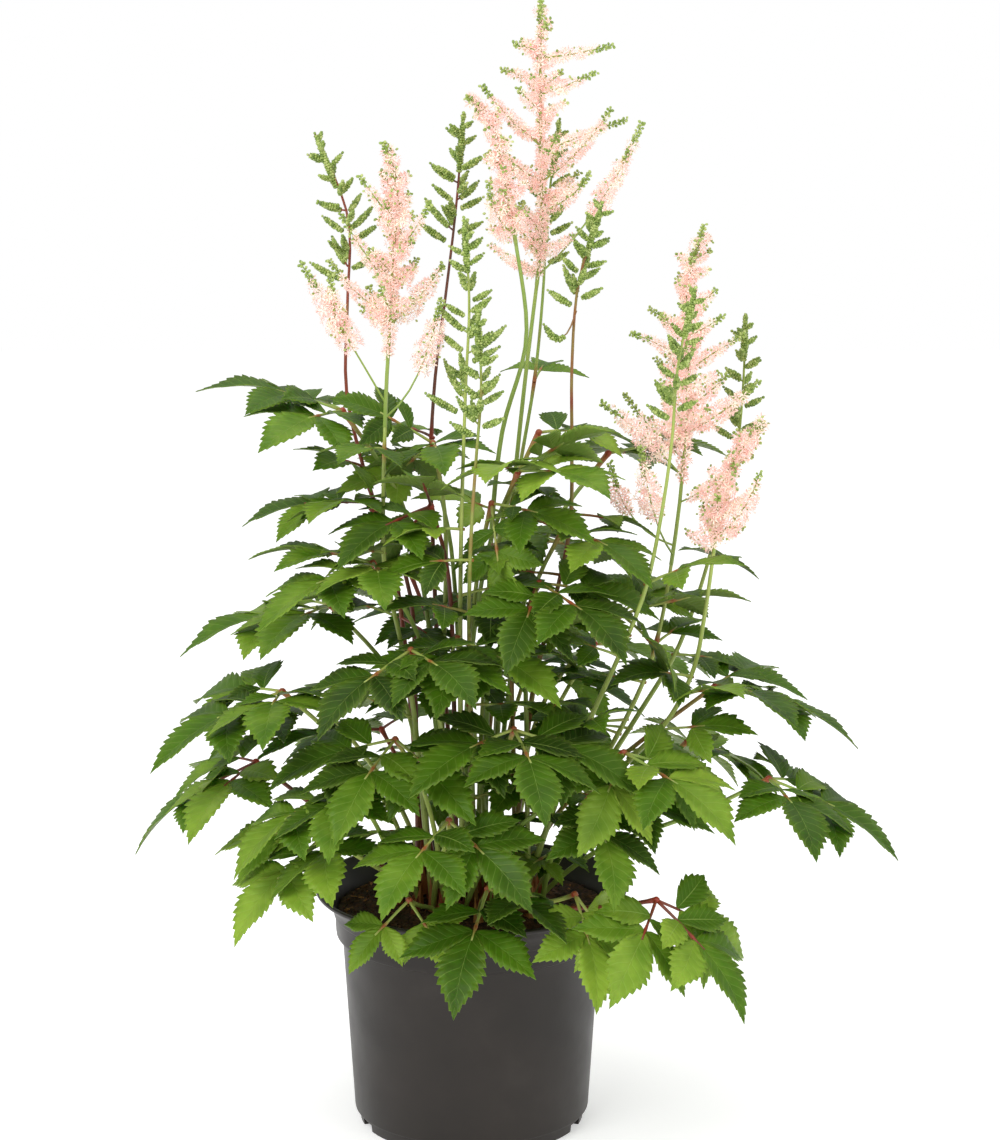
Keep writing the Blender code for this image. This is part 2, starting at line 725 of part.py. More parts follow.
def make_leaf(number, leaf, points, turn, others, material, collection):
    tier, _, _, _, pitch, size, branches = leaf
    name = f"leaf_{number:02d}_{tier}"
    tilt = math.radians(pitch)
    out = Vector((math.cos(turn), math.sin(turn), 0))
    heading = out * math.cos(tilt) + Vector((0, 0, math.sin(tilt)))
    normal = Vector((0, 0, math.cos(tilt))) - out * math.sin(tilt)
    fork = points[-1]
    pieces = [tube_object(name, *petiole_line(points), collection)]
    own = []
    angles = (0, SIDE_BRANCH_ANGLE, -SIDE_BRANCH_ANGLE)[:branches]
    if branches == 2:
        angles = (-0.35 * SIDE_BRANCH_ANGLE, 0.75 * SIDE_BRANCH_ANGLE)
    for k, angle in enumerate(angles):
        way = Matrix.Rotation(math.radians(angle), 3, normal) @ heading
        stalk = BRANCH_LENGTH * size * (1.0 if k == 0 else 0.78)
        placed = place_branch(number * 10 + k, fork, way, normal, stalk, size, others, own)
        if placed is None:
            continue
        ahead, up, used, tree = placed
        own.append(tree)
        vertices, faces = branch_of_three(fork + ahead * KNOB * 0.76, ahead, up, stalk, used, BLADE)
        pieces.append(mesh_object(f"{name}_branch_{k}", vertices, faces, collection))
    if len(pieces) == 1:
        raise ValueError(f"{name} has no leaflets left")
    return fuse(name, pieces, material, collection)


# Flower stems and plumes

def ring_count(length, spacing):
    return max(3, round(length / spacing) + 1)


def fluffy_branch(path, thick, bare, sides, spacing, bump):
    """A branch of florets: a slim bare stalk, then a body that swells and tapers to its tip."""
    length = sum((b - a).length for a, b in zip(path, path[1:]))
    count = ring_count(length, spacing)
    points = smooth_path(path, count)
    radii = []
    for i in range(count):
        share = i / (count - 1)
        if i == 0 or share <= bare * 0.98:
            radii.append(0.65)
        else:
            along = (share - bare) / (1 - bare)
            radii.append(max(thick * min(0.62 + 1.6 * along, 1.0) * (1 - along) ** 0.6, 0.28 * thick))
    return loft(points, radii, sides, bump)


def plume_branches(stem, axis):
    """Paths and radii of a plume's side branches, longest at its foot, set in a spiral."""
    made = []
    fine = evenly(axis, 40)
    draw = random.Random(stem["name"])
    bare = stem.get("bare", 0.08)
    for k in range(stem["count"]):
        share = bare + (0.93 - bare) * (k + 0.3) / stem["count"]
        at = fine[round(share * 39)]
        along = (fine[min(round(share * 39) + 2, 39)] - fine[max(round(share * 39) - 2, 0)]).normalized()
        turn = math.radians(137.5 * k + draw.uniform(-14, 14))
        reach = stem["reach"] * (1 - 0.78 * (share - bare) / (1 - bare)) * draw.uniform(0.88, 1.08)
        out = across(along, turn)
        rise = math.radians(stem["rise"])
        way = out * math.cos(rise) + along * math.sin(rise)
        end = at + way * reach + Vector((0, 0, 0.10 * reach))
        via = at + way * reach * 0.55 - Vector((0, 0, 0.06 * reach))
        thick = stem["thick"] * (0.72 + 0.28 * reach / stem["reach"])
        made.append((bend(at, via, end, 4), thick, 0.0))
    reached = list(fine)
    for (start, via, end), thick, bare_share in stem["sprays"]:
        root = min(reached, key=lambda point: (point - Vector(start)).length)
        path = bend(root, via, end, 7)
        reached += path[2:5]
        made.append((path, thick, bare_share))
    return made


def stem_path(stem, feet):
    """The foot of a flower stem, and its whole smooth path from inside the soil to the tip."""
    knots = [Vector(p) for p in stem["path"]]
    lowest = knots[0]
    azimuth = math.degrees(math.atan2(lowest.y, lowest.x))
    radius = min(math.hypot(lowest.x, lowest.y) * 0.62, 38.0)
    foot = free_foot(azimuth, radius, feet)
    ground = soil_height(*foot)
    start = Vector((*foot, ground - HOLE_DEPTH + 1.5))
    inside = Vector((*foot, ground + 1.0))
    return foot, [start] + smooth_path([inside, *knots], 28)


def clear_branch(branch, thick, bare, shape, others):
    """The branch, turned about its root or slimmed until it is clear of the others, or None."""
    root = branch[0]
    for k in range(14):
        angle = math.radians(13 * (-1) ** k * ((k + 1) // 2))
        turn = Matrix.Rotation(angle, 3, "Z")
        slim = 0.95 ** k
        path = [root + turn @ (point - root) * (0.4 + 0.6 * slim) for point in branch]
        fat = fluffy_branch(path, thick * slim + BRANCH_CLEARANCE, bare, *shape)
        if clear_of(tree_of(*fat), others):
            return fluffy_branch(path, thick * slim, bare, *shape)
    return None


def make_flower_stem(stem, path, others, materials, collection):
    """The green stem with its buds or its stem leaf, and the pink plume that stands on it."""
    lower, upper = cut_at_height(path, stem["bloom"])
    made = []
    stem_name = f"stem_{stem['name']}"
    shape = (4, 11.0, 0.24) if stem["pink"] else (3, 16.0, 0.2)
    if stem["pink"]:
        top = lower[-1] - (lower[-1] - lower[-2]).normalized() * 0.4
        green = [lower[0]] + smooth_path(lower[1:-1] + [top], STEM_POINTS)
        upper = smooth_path(upper, 8)
    else:
        green = [lower[0]] + smooth_path(path[1:], STEM_POINTS + 2)
        lower, upper = cut_at_height(green, stem["bloom"])
    green_pieces = [tube_object(stem_name, green, tapered(STEM_RADII, len(green)), collection)]
    heads = []
    for k, (branch, thick, bare) in enumerate(plume_branches(stem, upper)):
        clear = clear_branch(branch, thick, bare, shape, others)
        if clear:
            heads.append(mesh_object(f"{stem_name}_branch_{k}", *clear, collection))
    if stem["pink"]:
        vertices, faces = loft(upper, [1.3 - 0.7 * i / 7 for i in range(8)], 4)
        axis = mesh_object(f"plume_{stem['name']}", vertices, faces, collection)
        tip = fluffy_branch(upper[5:], stem["thick"] * 0.8, 0.0, *shape)
        heads.append(mesh_object(f"{stem_name}_tip", *tip, collection))
        made.append(fuse(f"plume_{stem['name']}", [axis, *heads], materials["petal_pink"], collection))
    else:
        tip = fluffy_branch(upper[-3:], stem["thick"], 0.0, *shape)
        heads.append(mesh_object(f"{stem_name}_tip", *tip, collection))
        green_pieces += heads
    if stem["name"] in CAULINE_LEAVES:
        azimuth, height = CAULINE_LEAVES[stem["name"]]
        below, _ = cut_at_height(green, height)
        turn = math.radians(azimuth)
        heading = Vector((math.cos(turn), math.sin(turn), 0.25)).normalized()
        side = Vector((0, 0, 1)).cross(heading).normalized()
        normal = heading.cross(side).normalized()
        placed = place_branch(height, below[-1], heading, normal, 16.0, CAULINE_SIZE, others, [])
        if placed:
            ahead, up, used, _ = placed
            vertices, faces = branch_of_three(below[-1], ahead, up, 16.0, used, BLADE)
            green_pieces.append(mesh_object(f"{stem_name}_leaf", vertices, faces, collection))
    kind = "stem_green" if stem["pink"] else "bud_green"
    made.append(fuse(stem_name, green_pieces, materials[kind], collection))
    return made


def main():
    clear_scene()
    plant = new_collection("astilbe_plant")
    cutters = new_collection("cutters")
    materials = make_materials()
    pot = make_pot(plant, cutters, materials["pot_plastic"])
    others = [tree_of_object(pot)]
    feet = []
    paths = []
    for stem in FLOWER_STEMS:
        foot, path = stem_path(stem, feet)
        feet.append((foot, STEM_RADII[0]))
        paths.append(path)
    axes = [tree_of(*loft(path, [2.3] * len(path), 4)) for path in paths]
    for k, (stem, path) in enumerate(zip(FLOWER_STEMS, paths)):
        near = others + axes[:k] + axes[k + 1:]
        for item in make_flower_stem(stem, path, near, materials, plant):
            others.append(tree_of_object(item))
    petioles = place_petioles(feet, others)
    for number, (leaf, (points, turn, own)) in enumerate(zip(LEAVES, petioles), 1):
        near = others + [tree for _, _, tree in petioles[number - 1:] if tree is not own]
        item = make_leaf(number, leaf, points, turn, near, materials["leaf_green"], plant)
        others.append(tree_of_object(item))
    make_soil(plant, cutters, feet, materials["potting_soil"])
    bpy.data.collections.remove(cutters)


main()
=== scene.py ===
import math
import random
import bpy
import numpy
from mathutils import Matrix, Vector, noise
from mathutils.geometry import interpolate_bezier
from mathutils.kdtree import KDTree


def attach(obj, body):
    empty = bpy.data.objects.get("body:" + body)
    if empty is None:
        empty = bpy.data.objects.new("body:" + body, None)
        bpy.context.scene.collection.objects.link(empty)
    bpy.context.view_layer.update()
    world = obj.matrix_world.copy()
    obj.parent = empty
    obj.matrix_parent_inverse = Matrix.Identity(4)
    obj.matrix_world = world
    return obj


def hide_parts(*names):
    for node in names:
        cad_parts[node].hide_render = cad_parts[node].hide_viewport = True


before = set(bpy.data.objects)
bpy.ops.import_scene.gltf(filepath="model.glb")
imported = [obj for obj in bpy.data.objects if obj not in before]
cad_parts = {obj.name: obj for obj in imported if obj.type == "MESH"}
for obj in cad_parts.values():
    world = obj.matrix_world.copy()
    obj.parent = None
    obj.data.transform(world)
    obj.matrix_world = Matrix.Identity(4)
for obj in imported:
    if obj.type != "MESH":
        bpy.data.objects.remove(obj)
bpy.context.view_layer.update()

mm = 0.001  # all lengths below are in millimetres
fullTurn = 2 * math.pi
anyTurn = (0, 6.28)
goldenTurn = 2.39996
goldenDegrees = 137.5


# small helpers

def deselectAll():
    if bpy.context.mode != "OBJECT":
        bpy.ops.object.mode_set(mode="OBJECT")
    bpy.ops.object.select_all(action="DESELECT")


def makeActive(piece):
    deselectAll()
    piece.select_set(True)
    bpy.context.view_layer.objects.active = piece


def applyAll(piece):
    makeActive(piece)
    for modifier in list(piece.modifiers):
        bpy.ops.object.modifier_apply(modifier=modifier.name)


def outwards(piece):
    makeActive(piece)
    bpy.ops.object.mode_set(mode="EDIT")
    bpy.ops.mesh.select_all(action="SELECT")
    bpy.ops.mesh.remove_doubles(threshold=0.00001)
    bpy.ops.mesh.normals_make_consistent(inside=False)
    bpy.ops.object.mode_set(mode="OBJECT")


def finishPiece(piece, slotName, *nodes):
    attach(piece, "root")
    if nodes:
        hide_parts(*nodes)


# material helpers

def newMaterial(name, roughness):
    material = bpy.data.materials.new(name)
    material.use_nodes = True
    tree = material.node_tree
    shader = tree.nodes["Principled BSDF"]
    shader.inputs["Roughness"].default_value = roughness
    return material, tree, shader


def node(tree, kind, **values):
    made = tree.nodes.new(kind)
    for key, value in values.items():
        if hasattr(made, key):
            setattr(made, key, value)
        else:
            made.inputs[key].default_value = value
    return made


def mathNode(tree, operation, *values):
    made = tree.nodes.new("ShaderNodeMath")
    made.operation = operation
    for socket, value in zip(made.inputs, values):
        if isinstance(value, (int, float)):
            socket.default_value = value
        else:
            tree.links.new(value, socket)
    return made.outputs[0]


def thinLine(tree, distance, sharpness):
    # 1 on a line, falling to 0 beside it
    beside = mathNode(tree, "MINIMUM", mathNode(tree, "MULTIPLY", distance, sharpness), 1.0)
    return mathNode(tree, "SUBTRACT", 1.0, beside)


def ramp(tree, factor, stops):
    made = tree.nodes.new("ShaderNodeValToRGB")
    bar = made.color_ramp
    while len(bar.elements) < len(stops):
        bar.elements.new(0.5)
    for element, (place, colour) in zip(bar.elements, stops):
        element.position = place
        element.color = (*colour, 1.0)
    tree.links.new(factor, made.inputs[0])
    return made.outputs[0]


def mixColour(tree, factor, first, second):
    made = tree.nodes.new("ShaderNodeMix")
    made.data_type = "RGBA"
    made.inputs[7].default_value = (*second, 1.0)
    tree.links.new(factor, made.inputs[0])
    tree.links.new(first, made.inputs[6])
    return made.outputs[2]


def attribute(tree, name):
    return node(tree, "ShaderNodeAttribute", attribute_name=name).outputs["Fac"]


def noiseOf(tree, scale, detail=3.0):
    place = node(tree, "ShaderNodeTexCoord")
    made = node(tree, "ShaderNodeTexNoise", Scale=scale, Detail=detail)
    tree.links.new(place.outputs["Object"], made.inputs["Vector"])
    return made.outputs["Fac"]


def mottled(tree, scale, spread, detail=3.0):
    # the tone of each copy, made uneven by noise
    clouds = mathNode(tree, "MULTIPLY_ADD", noiseOf(tree, scale, detail), spread, -spread / 2)
    return mathNode(tree, "ADD", attribute(tree, "tone"), clouds)


def bumpOf(tree, shader, height, strength, distance):
    made = node(tree, "ShaderNodeBump", Strength=strength, Distance=distance)
    tree.links.new(height, made.inputs["Height"])
    tree.links.new(made.outputs["Normal"], shader.inputs["Normal"])


def letLightThrough(shader, weight, radius, scale):
    shader.inputs["Subsurface Weight"].default_value = weight
    shader.inputs["Subsurface Radius"].default_value = radius
    shader.inputs["Subsurface Scale"].default_value = scale


# a pile of copies that becomes one mesh

def newPile():
    return {"points": [], "faces": [], "uv": [], "tone": [], "mark": [], "material": [], "count": 0}


def forEach(value, number):
    return numpy.full(number, value) if numpy.isscalar(value) else numpy.asarray(value, float)


def addToPile(pile, points, faces, uv=None, tone=0.5, mark=0.0, material=0):
    pile["points"].append(numpy.asarray(points, float))
    start = pile["count"]
    pile["faces"] += [tuple(start + i for i in face) for face in faces]
    corners = sum(len(face) for face in faces)
    pile["uv"].append(numpy.zeros((corners, 2)) if uv is None else uv)
    pile["tone"].append(forEach(tone, len(points)))
    pile["mark"].append(forEach(mark, len(points)))
    pile["material"] += [material] * len(faces)
    pile["count"] += len(points)


def pileToPiece(name, pile, materials, smooth=True):
    mesh = bpy.data.meshes.new(name)
    mesh.from_pydata((numpy.concatenate(pile["points"]) * mm).tolist(), [], pile["faces"])
    layer = mesh.uv_layers.new(name="blade")
    layer.data.foreach_set("uv", numpy.concatenate(pile["uv"]).ravel())
    for key in ("tone", "mark"):
        mesh.attributes.new(key, "FLOAT", "POINT").data.foreach_set("value", numpy.concatenate(pile[key]))
    for material in materials:
        mesh.materials.append(material)
    mesh.polygons.foreach_set("material_index", pile["material"])
    mesh.polygons.foreach_set("use_smooth", [smooth] * len(mesh.polygons))
    mesh.update()
    piece = bpy.data.objects.new(name, mesh)
    bpy.context.scene.collection.objects.link(piece)
    return piece


def takeMaster(piece):
    # a primitive's corners and faces, for copying
    points = numpy.array([vertex.co[:] for vertex in piece.data.vertices]) / mm
    faces = [tuple(face.vertices) for face in piece.data.polygons]
    bpy.data.objects.remove(piece)
    return points, faces


# curves

def bend(start, via, end, count):
    start, via, end = Vector(start), Vector(via), Vector(end)
    return interpolate_bezier(start, start.lerp(via, 2 / 3), end.lerp(via, 2 / 3), end, count)


def evenly(points, count):
    lengths = [0.0]
    for a, b in zip(points, points[1:]):
        lengths.append(lengths[-1] + (b - a).length)
    out = []
    for k in range(count):
        target = lengths[-1] * k / (count - 1)
        i = next((n for n in range(1, len(points)) if lengths[n] >= target - 1e-9), len(points) - 1)
        share = (target - lengths[i - 1]) / max(lengths[i] - lengths[i - 1], 1e-9)
        out.append(points[i - 1].lerp(points[i], min(max(share, 0.0), 1.0)))
    return out


def smoothPath(knots, count):
    knots = [Vector(k) for k in knots]
    fine = []
    for i in range(len(knots) - 1):
        before, after = knots[max(i - 1, 0)], knots[min(i + 2, len(knots) - 1)]
        a, b = knots[i], knots[i + 1]
        fine += interpolate_bezier(a, a + (b - before) / 6, b - (after - a) / 6, b, 9)[:-1]
    fine.append(knots[-1])
    return evenly(fine, count)


def cutAtHeight(points, height):
    for i in range(len(points) - 1):
        if points[i].z <= height < points[i + 1].z:
            share = (height - points[i].z) / (points[i + 1].z - points[i].z)
            middle = points[i].lerp(points[i + 1], share)
            return points[: i + 1] + [middle], [middle] + points[i + 1:]
    return points, points[-2:]


def across(direction, angle):
    direction = Vector(direction).normalized()
    side = direction.cross(Vector((0.31, 0.17, 0.93))).normalized()
    return Matrix.Rotation(angle, 3, direction) @ side


def lengthOf(points):
    return sum((b - a).length for a, b in zip(points, points[1:]))


def placeAt(points, share):
    # the point and heading at a share of an even line
    at = share * (len(points) - 1)
    i = min(int(at), len(points) - 2)
    return points[i].lerp(points[i + 1], min(at - i, 1.0)), (points[i + 1] - points[i]).normalized()


def headingAt(points, share):
    # the nearest point of an even line, and the heading over two points on each side
    i = round(share * (len(points) - 1))
    ahead, behind = points[min(i + 2, len(points) - 1)], points[max(i - 2, 0)]
    return points[i], (ahead - behind).normalized()


def tubeAlong(pile, points, radii, sides, tone=0.5, marks=None):
    # a closed round stalk; marks colour its joints
    side = across(points[1] - points[0], 0.0)
    rings, faces, reds = [], [], []
    for i, point in enumerate(points):
        along = (points[min(i + 1, len(points) - 1)] - points[max(i - 1, 0)]).normalized()
        side = (side - along * side.dot(along)).normalized()
        other = along.cross(side)
        for k in range(sides):
            turn = fullTurn * k / sides
            rings.append((point + (side * math.cos(turn) + other * math.sin(turn)) * radii[i])[:])
            reds.append(marks[i] if marks else 0.0)
    for i in range(len(points) - 1):
        for k in range(sides):
            a, b = i * sides + k, i * sides + (k + 1) % sides
            faces.append((a, b, b + sides, a + sides))
    faces.append(tuple(reversed(range(sides))))
    last = (len(points) - 1) * sides
    faces.append(tuple(last + k for k in range(sides)))
    addToPile(pile, rings, faces, tone=tone, mark=reds, material=1)


# places read from the CAD nodes

fromCad = {
    "footReach": 70,  # a foot is nearer the pot's middle than this
    "footCorners": 4,
    "match": 0.06,  # a corner this near is the one that was looked for
}


def cadTree(name):
    points = [vertex.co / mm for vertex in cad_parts[name].data.vertices]
    tree = KDTree(len(points))
    for i, point in enumerate(points):
        tree.insert(point, i)
    tree.balance()
    inPot = [point for point in points if math.hypot(point.x, point.y) < fromCad["footReach"]]
    lowest = sorted(inPot, key=lambda point: point.z)[:fromCad["footCorners"]]
    foot = sum(lowest, Vector()) / max(len(lowest), 1)
    return tree, foot


def isThere(tree, point):
    return tree.find(point)[2] < fromCad["match"]


# materials

leafLook = {
    "darkGreen": (0.016, 0.038, 0.002),
    "midGreen": (0.064, 0.146, 0.004),
    "lightGreen": (0.300, 0.440, 0.045),
    "vein": (0.300, 0.420, 0.090),
    "veinStrength": 0.8,
    "sideVein": 0.30,  # of the midrib's strength
    "veinPairs": 9.0,
    "veinLag": 0.17,  # how far a side vein runs forwards
    "veinSharpness": 14.0,
    "ribSharpness": (17.0, 24.0),  # at the foot, and its growth to the tip
    "underside": (0.170, 0.230, 0.060),
    "undersideStrength": 0.75,
    "paleEdge": (5.0, 0.22),  # how close to the margin, and how pale
    "clouds": (55.0, 0.5, 4.0),  # scale, spread, detail
    "roughness": 0.46,
    "specular": 0.18,
    "relief": (0.35, 0.0005),
}
stalkLook = {
    # dark brown, red-brown, green, yellow-green
    "tones": ((0.0, (0.075, 0.035, 0.018)), (0.22, (0.270, 0.050, 0.022)),
              (0.5, (0.250, 0.370, 0.065)), (1.0, (0.420, 0.480, 0.110))),
    "clouds": (70.0, 0.4),
    "marked": (0.330, 0.035, 0.015),  # a red joint
    "markStrength": 0.95,
    "roughness": 0.42,
    "fibres": 900.0,
    "relief": (0.3, 0.0003),
}
petalLook = {
    # pink, pale pink, cream
    "tones": ((0.1, (0.965, 0.590, 0.540)), (0.6, (0.980, 0.720, 0.650)), (0.95, (0.970, 0.850, 0.690))),
    "clouds": (160.0, 0.3),
    "marked": (0.620, 0.380, 0.120),  # ochre tips of the stamens
    "markStrength": 1.0,
    "roughness": 0.6,
    "paintedGlow": 0.12,  # painted light: the petals glow in their own colour, standing in for light through the thin petals
}
budLook = {
    "tones": ((0.05, (0.095, 0.165, 0.028)), (0.5, (0.260, 0.370, 0.065)), (0.95, (0.520, 0.590, 0.210))),
    "clouds": (220.0, 0.4),
    "roughness": 0.5,
}
chipLook = {
    "tones": ((0.0, (0.012, 0.007, 0.005)), (0.45, (0.070, 0.025, 0.011)),
              (0.75, (0.190, 0.070, 0.025)), (1.0, (0.420, 0.200, 0.075))),
    "roughness": 0.85,
}
sheathLook = {
    "tones": ((0.0, (0.120, 0.030, 0.014)), (0.5, (0.380, 0.080, 0.025)), (1.0, (0.520, 0.240, 0.080))),
    "roughness": 0.55,
}
soilLook = {
    "tones": ((0.30, (0.008, 0.005, 0.004)), (0.52, (0.035, 0.015, 0.008)),
              (0.66, (0.110, 0.042, 0.017)), (0.85, (0.230, 0.110, 0.045))),
    "grain": (420.0, 6.0),
    "patches": (60.0, 3.0),
    "roughness": 0.95,
    "relief": (0.9, 0.0015),
}
potLook = {
    "tones": ((0.25, (0.016, 0.013, 0.011)), (0.60, (0.024, 0.019, 0.016)), (0.85, (0.038, 0.031, 0.027))),
    "scuffs": (18.0, 5.0),
    "dullPatches": (45.0, 6.0),
    "roughness": 0.30,
    "roughnessSpread": 0.25,
    "specular": 0.28,
    "pimples": (500.0, 2.0),
    "relief": (0.08, 0.0003),
}


def leafMaterial():
    material, tree, shader = newMaterial("leafBlade", leafLook["roughness"])
    split = node(tree, "ShaderNodeSeparateXYZ")
    tree.links.new(node(tree, "ShaderNodeUVMap", uv_map="blade").outputs[0], split.inputs[0])
    sideways, lengthways = split.outputs[0], split.outputs[1]
    fromRib = mathNode(tree, "ABSOLUTE", mathNode(tree, "MULTIPLY_ADD", sideways, 2.0, -1.0))
    # side veins leave the midrib forwards
    lag = mathNode(tree, "MULTIPLY", fromRib, leafLook["veinLag"])
    phase = mathNode(tree, "MULTIPLY", mathNode(tree, "SUBTRACT", lengthways, lag), leafLook["veinPairs"])
    saw = mathNode(tree, "ABSOLUTE", mathNode(tree, "SUBTRACT", mathNode(tree, "FRACT", phase), 0.5))
    sideVeins = thinLine(tree, saw, leafLook["veinSharpness"])
    sideVeins = mathNode(tree, "MULTIPLY", sideVeins, leafLook["sideVein"])
    atFoot, growth = leafLook["ribSharpness"]
    rib = thinLine(tree, fromRib, mathNode(tree, "MULTIPLY_ADD", lengthways, growth, atFoot))
    veins = mathNode(tree, "MULTIPLY", mathNode(tree, "MAXIMUM", sideVeins, rib), leafLook["veinStrength"])
    green = ramp(tree, mottled(tree, *leafLook["clouds"]), (
        (0.08, leafLook["darkGreen"]), (0.5, leafLook["midGreen"]), (0.95, leafLook["lightGreen"])))
    under = mathNode(tree, "MULTIPLY", attribute(tree, "mark"), leafLook["undersideStrength"])
    green = mixColour(tree, under, green, leafLook["underside"])
    closeness, paleness = leafLook["paleEdge"]
    edge = mathNode(tree, "MULTIPLY", mathNode(tree, "POWER", fromRib, closeness), paleness)
    green = mixColour(tree, edge, green, leafLook["lightGreen"])
    tree.links.new(mixColour(tree, veins, green, leafLook["vein"]), shader.inputs["Base Color"])
    letLightThrough(shader, 0.12, (0.3, 0.8, 0.1), 0.002)
    shader.inputs["Specular IOR Level"].default_value = leafLook["specular"]
    # the blade swells between its veins
    cushion = mathNode(tree, "POWER", mathNode(tree, "MULTIPLY", saw, 2.0), 0.6)
    height = mathNode(tree, "SUBTRACT", cushion, mathNode(tree, "MULTIPLY", rib, 0.8))
    bumpOf(tree, shader, height, *leafLook["relief"])
    return material


def tonedMaterial(name, look):
    # each copy has its own tone on the ramp
    material, tree, shader = newMaterial(name, look["roughness"])
    tone = mottled(tree, *look["clouds"]) if "clouds" in look else attribute(tree, "tone")
    colour = ramp(tree, tone, look["tones"])
    if "marked" in look:
        strength = mathNode(tree, "MULTIPLY", attribute(tree, "mark"), look["markStrength"])
        colour = mixColour(tree, strength, colour, look["marked"])
    tree.links.new(colour, shader.inputs["Base Color"])
    if "fibres" in look:
        bumpOf(tree, shader, noiseOf(tree, look["fibres"]), *look["relief"])
    # painted light: the petals give off a glow in their own colour; the subsurface below is real
    if "paintedGlow" in look:
        tree.links.new(colour, shader.inputs["Emission Color"])
        shader.inputs["Emission Strength"].default_value = look["paintedGlow"]
        letLightThrough(shader, 0.2, (1.0, 0.5, 0.4), 0.001)
    return material


def soilMaterial():
    material, tree, shader = newMaterial("peatSoil", soilLook["roughness"])
    grain = noiseOf(tree, *soilLook["grain"])
    fromGrain = mathNode(tree, "MULTIPLY", grain, 0.6)
    tone = mathNode(tree, "MULTIPLY_ADD", noiseOf(tree, *soilLook["patches"]), 0.5, fromGrain)
    tree.links.new(ramp(tree, tone, soilLook["tones"]), shader.inputs["Base Color"])
    bumpOf(tree, shader, grain, *soilLook["relief"])
    return material


def potMaterial():
    material, tree, shader = newMaterial("nurseryPotPlastic", potLook["roughness"])
    colour = ramp(tree, noiseOf(tree, *potLook["scuffs"]), potLook["tones"])
    tree.links.new(colour, shader.inputs["Base Color"])
    dull = noiseOf(tree, *potLook["dullPatches"])
    roughness = mathNode(tree, "MULTIPLY_ADD", dull, potLook["roughnessSpread"], potLook["roughness"])
    tree.links.new(roughness, shader.inputs["Roughness"])
    shader.inputs["Specular IOR Level"].default_value = potLook["specular"]
    bumpOf(tree, shader, noiseOf(tree, *potLook["pimples"]), *potLook["relief"])
    return material


leafBlade = leafMaterial()
leafStalk = tonedMaterial("leafStalk", stalkLook)
floretPetal = tonedMaterial("floretPetal", petalLook)
greenBud = tonedMaterial("greenBud", budLook)
peatSoil = soilMaterial()
peatChip = tonedMaterial("peatChip", chipLook)
stemSheath = tonedMaterial("stemSheath", sheathLook)
potPlastic = potMaterial()
print("materials ready")


# pot

pot = {
    "sides": 96,
    "foot": (68.6, 0.0),
    # the outer wall from the foot up, then the inner wall down to the floor: (radius, height)
    "rings": (
        (69.4, 7.0), (71.8, 7.6), (72.0, 8.6), (78.4, 112.0), (78.9, 113.4), (79.4, 117.4), (82.4, 118.8),
        (82.7, 121.0), (83.1, 130.6), (83.9, 131.4), (84.1, 133.2), (85.4, 137.0), (89.0, 141.2),
        (93.7, 144.8), (94.9, 146.0), (95.0, 147.4), (94.4, 148.0), (92.9, 147.9),
        (84.2, 137.2), (81.8, 131.0), (76.9, 112.0), (70.5, 10.5), (68.0, 2.2),
    ),
    "notches": 8,
    "notchSize": (12.0, 13.0, 5.4),
    "notchPlace": (68.0, 1.6),
    "softEdge": 0.25,
    "edgeAngle": 28,
}


def cutNotches(made):
    cutters = []
    away, up = pot["notchPlace"]
    for k in range(pot["notches"]):
        turn = fullTurn * (k + 0.5) / pot["notches"]
        deselectAll()
        place = (away * math.cos(turn) * mm, away * math.sin(turn) * mm, up * mm)
        size = pot["notchSize"]
        bpy.ops.mesh.primitive_cube_add(size=mm, location=place, rotation=(0, 0, turn), scale=size)
        cutters.append(bpy.context.active_object)
    deselectAll()
    for cutter in cutters:
        cutter.select_set(True)
    bpy.context.view_layer.objects.active = cutters[0]
    bpy.ops.object.join()
    cut = made.modifiers.new("notches", "BOOLEAN")
    cut.operation = "DIFFERENCE"
    cut.object = cutters[0]
    cut.solver = "EXACT"
    applyAll(made)
    bpy.data.objects.remove(cutters[0])


def buildPot():
    deselectAll()
    radius, height = pot["foot"]
    bpy.ops.mesh.primitive_circle_add(vertices=pot["sides"], radius=radius * mm, fill_type="NGON")
    made = bpy.context.active_object
    made.name = "nurseryPot"
    bpy.ops.object.mode_set(mode="EDIT")
    bpy.ops.mesh.select_all(action="SELECT")
    for nextRadius, nextHeight in pot["rings"]:
        rise = (0, 0, (nextHeight - height) * mm)
        bpy.ops.mesh.extrude_region_move(TRANSFORM_OT_translate={"value": rise})
        grow = nextRadius / radius
        bpy.ops.transform.resize(value=(grow, grow, 1))
        radius, height = nextRadius, nextHeight
    bpy.ops.object.mode_set(mode="OBJECT")
    outwards(made)
    cutNotches(made)
    soften = made.modifiers.new("soften", "BEVEL")
    soften.width = pot["softEdge"] * mm
    soften.segments = 2
    soften.limit_method = "ANGLE"
    soften.angle_limit = math.radians(pot["edgeAngle"])
    applyAll(made)
    bpy.ops.object.shade_smooth_by_angle(angle=math.radians(32))
    made.data.materials.append(potPlastic)
    finishPiece(made, "pot_plastic", "pot")


buildPot()
print("pot built")


# soil

soil = {
    "edge": 133.0,
    "mound": 7.0,
    "moundReach": 82.0,
    "radius": 81.3,
    "grain": 1.5,
    "calmRim": (82.5, 8.0),  # where the grain has gone, and over what width it goes
    "cells": 76,
    "depth": 18.0,
    "taper": 0.935,
    "chips": 620,
    "chipReach": 79.5,
    "chipLength": (0.6, 3.0),
    "chipWidth": (0.4, 1.1),
    "chipHeight": (0.3, 0.8),
    "chipLift": (0.0, 1.3),
    "chipTilt": (-0.5, 0.5),
}


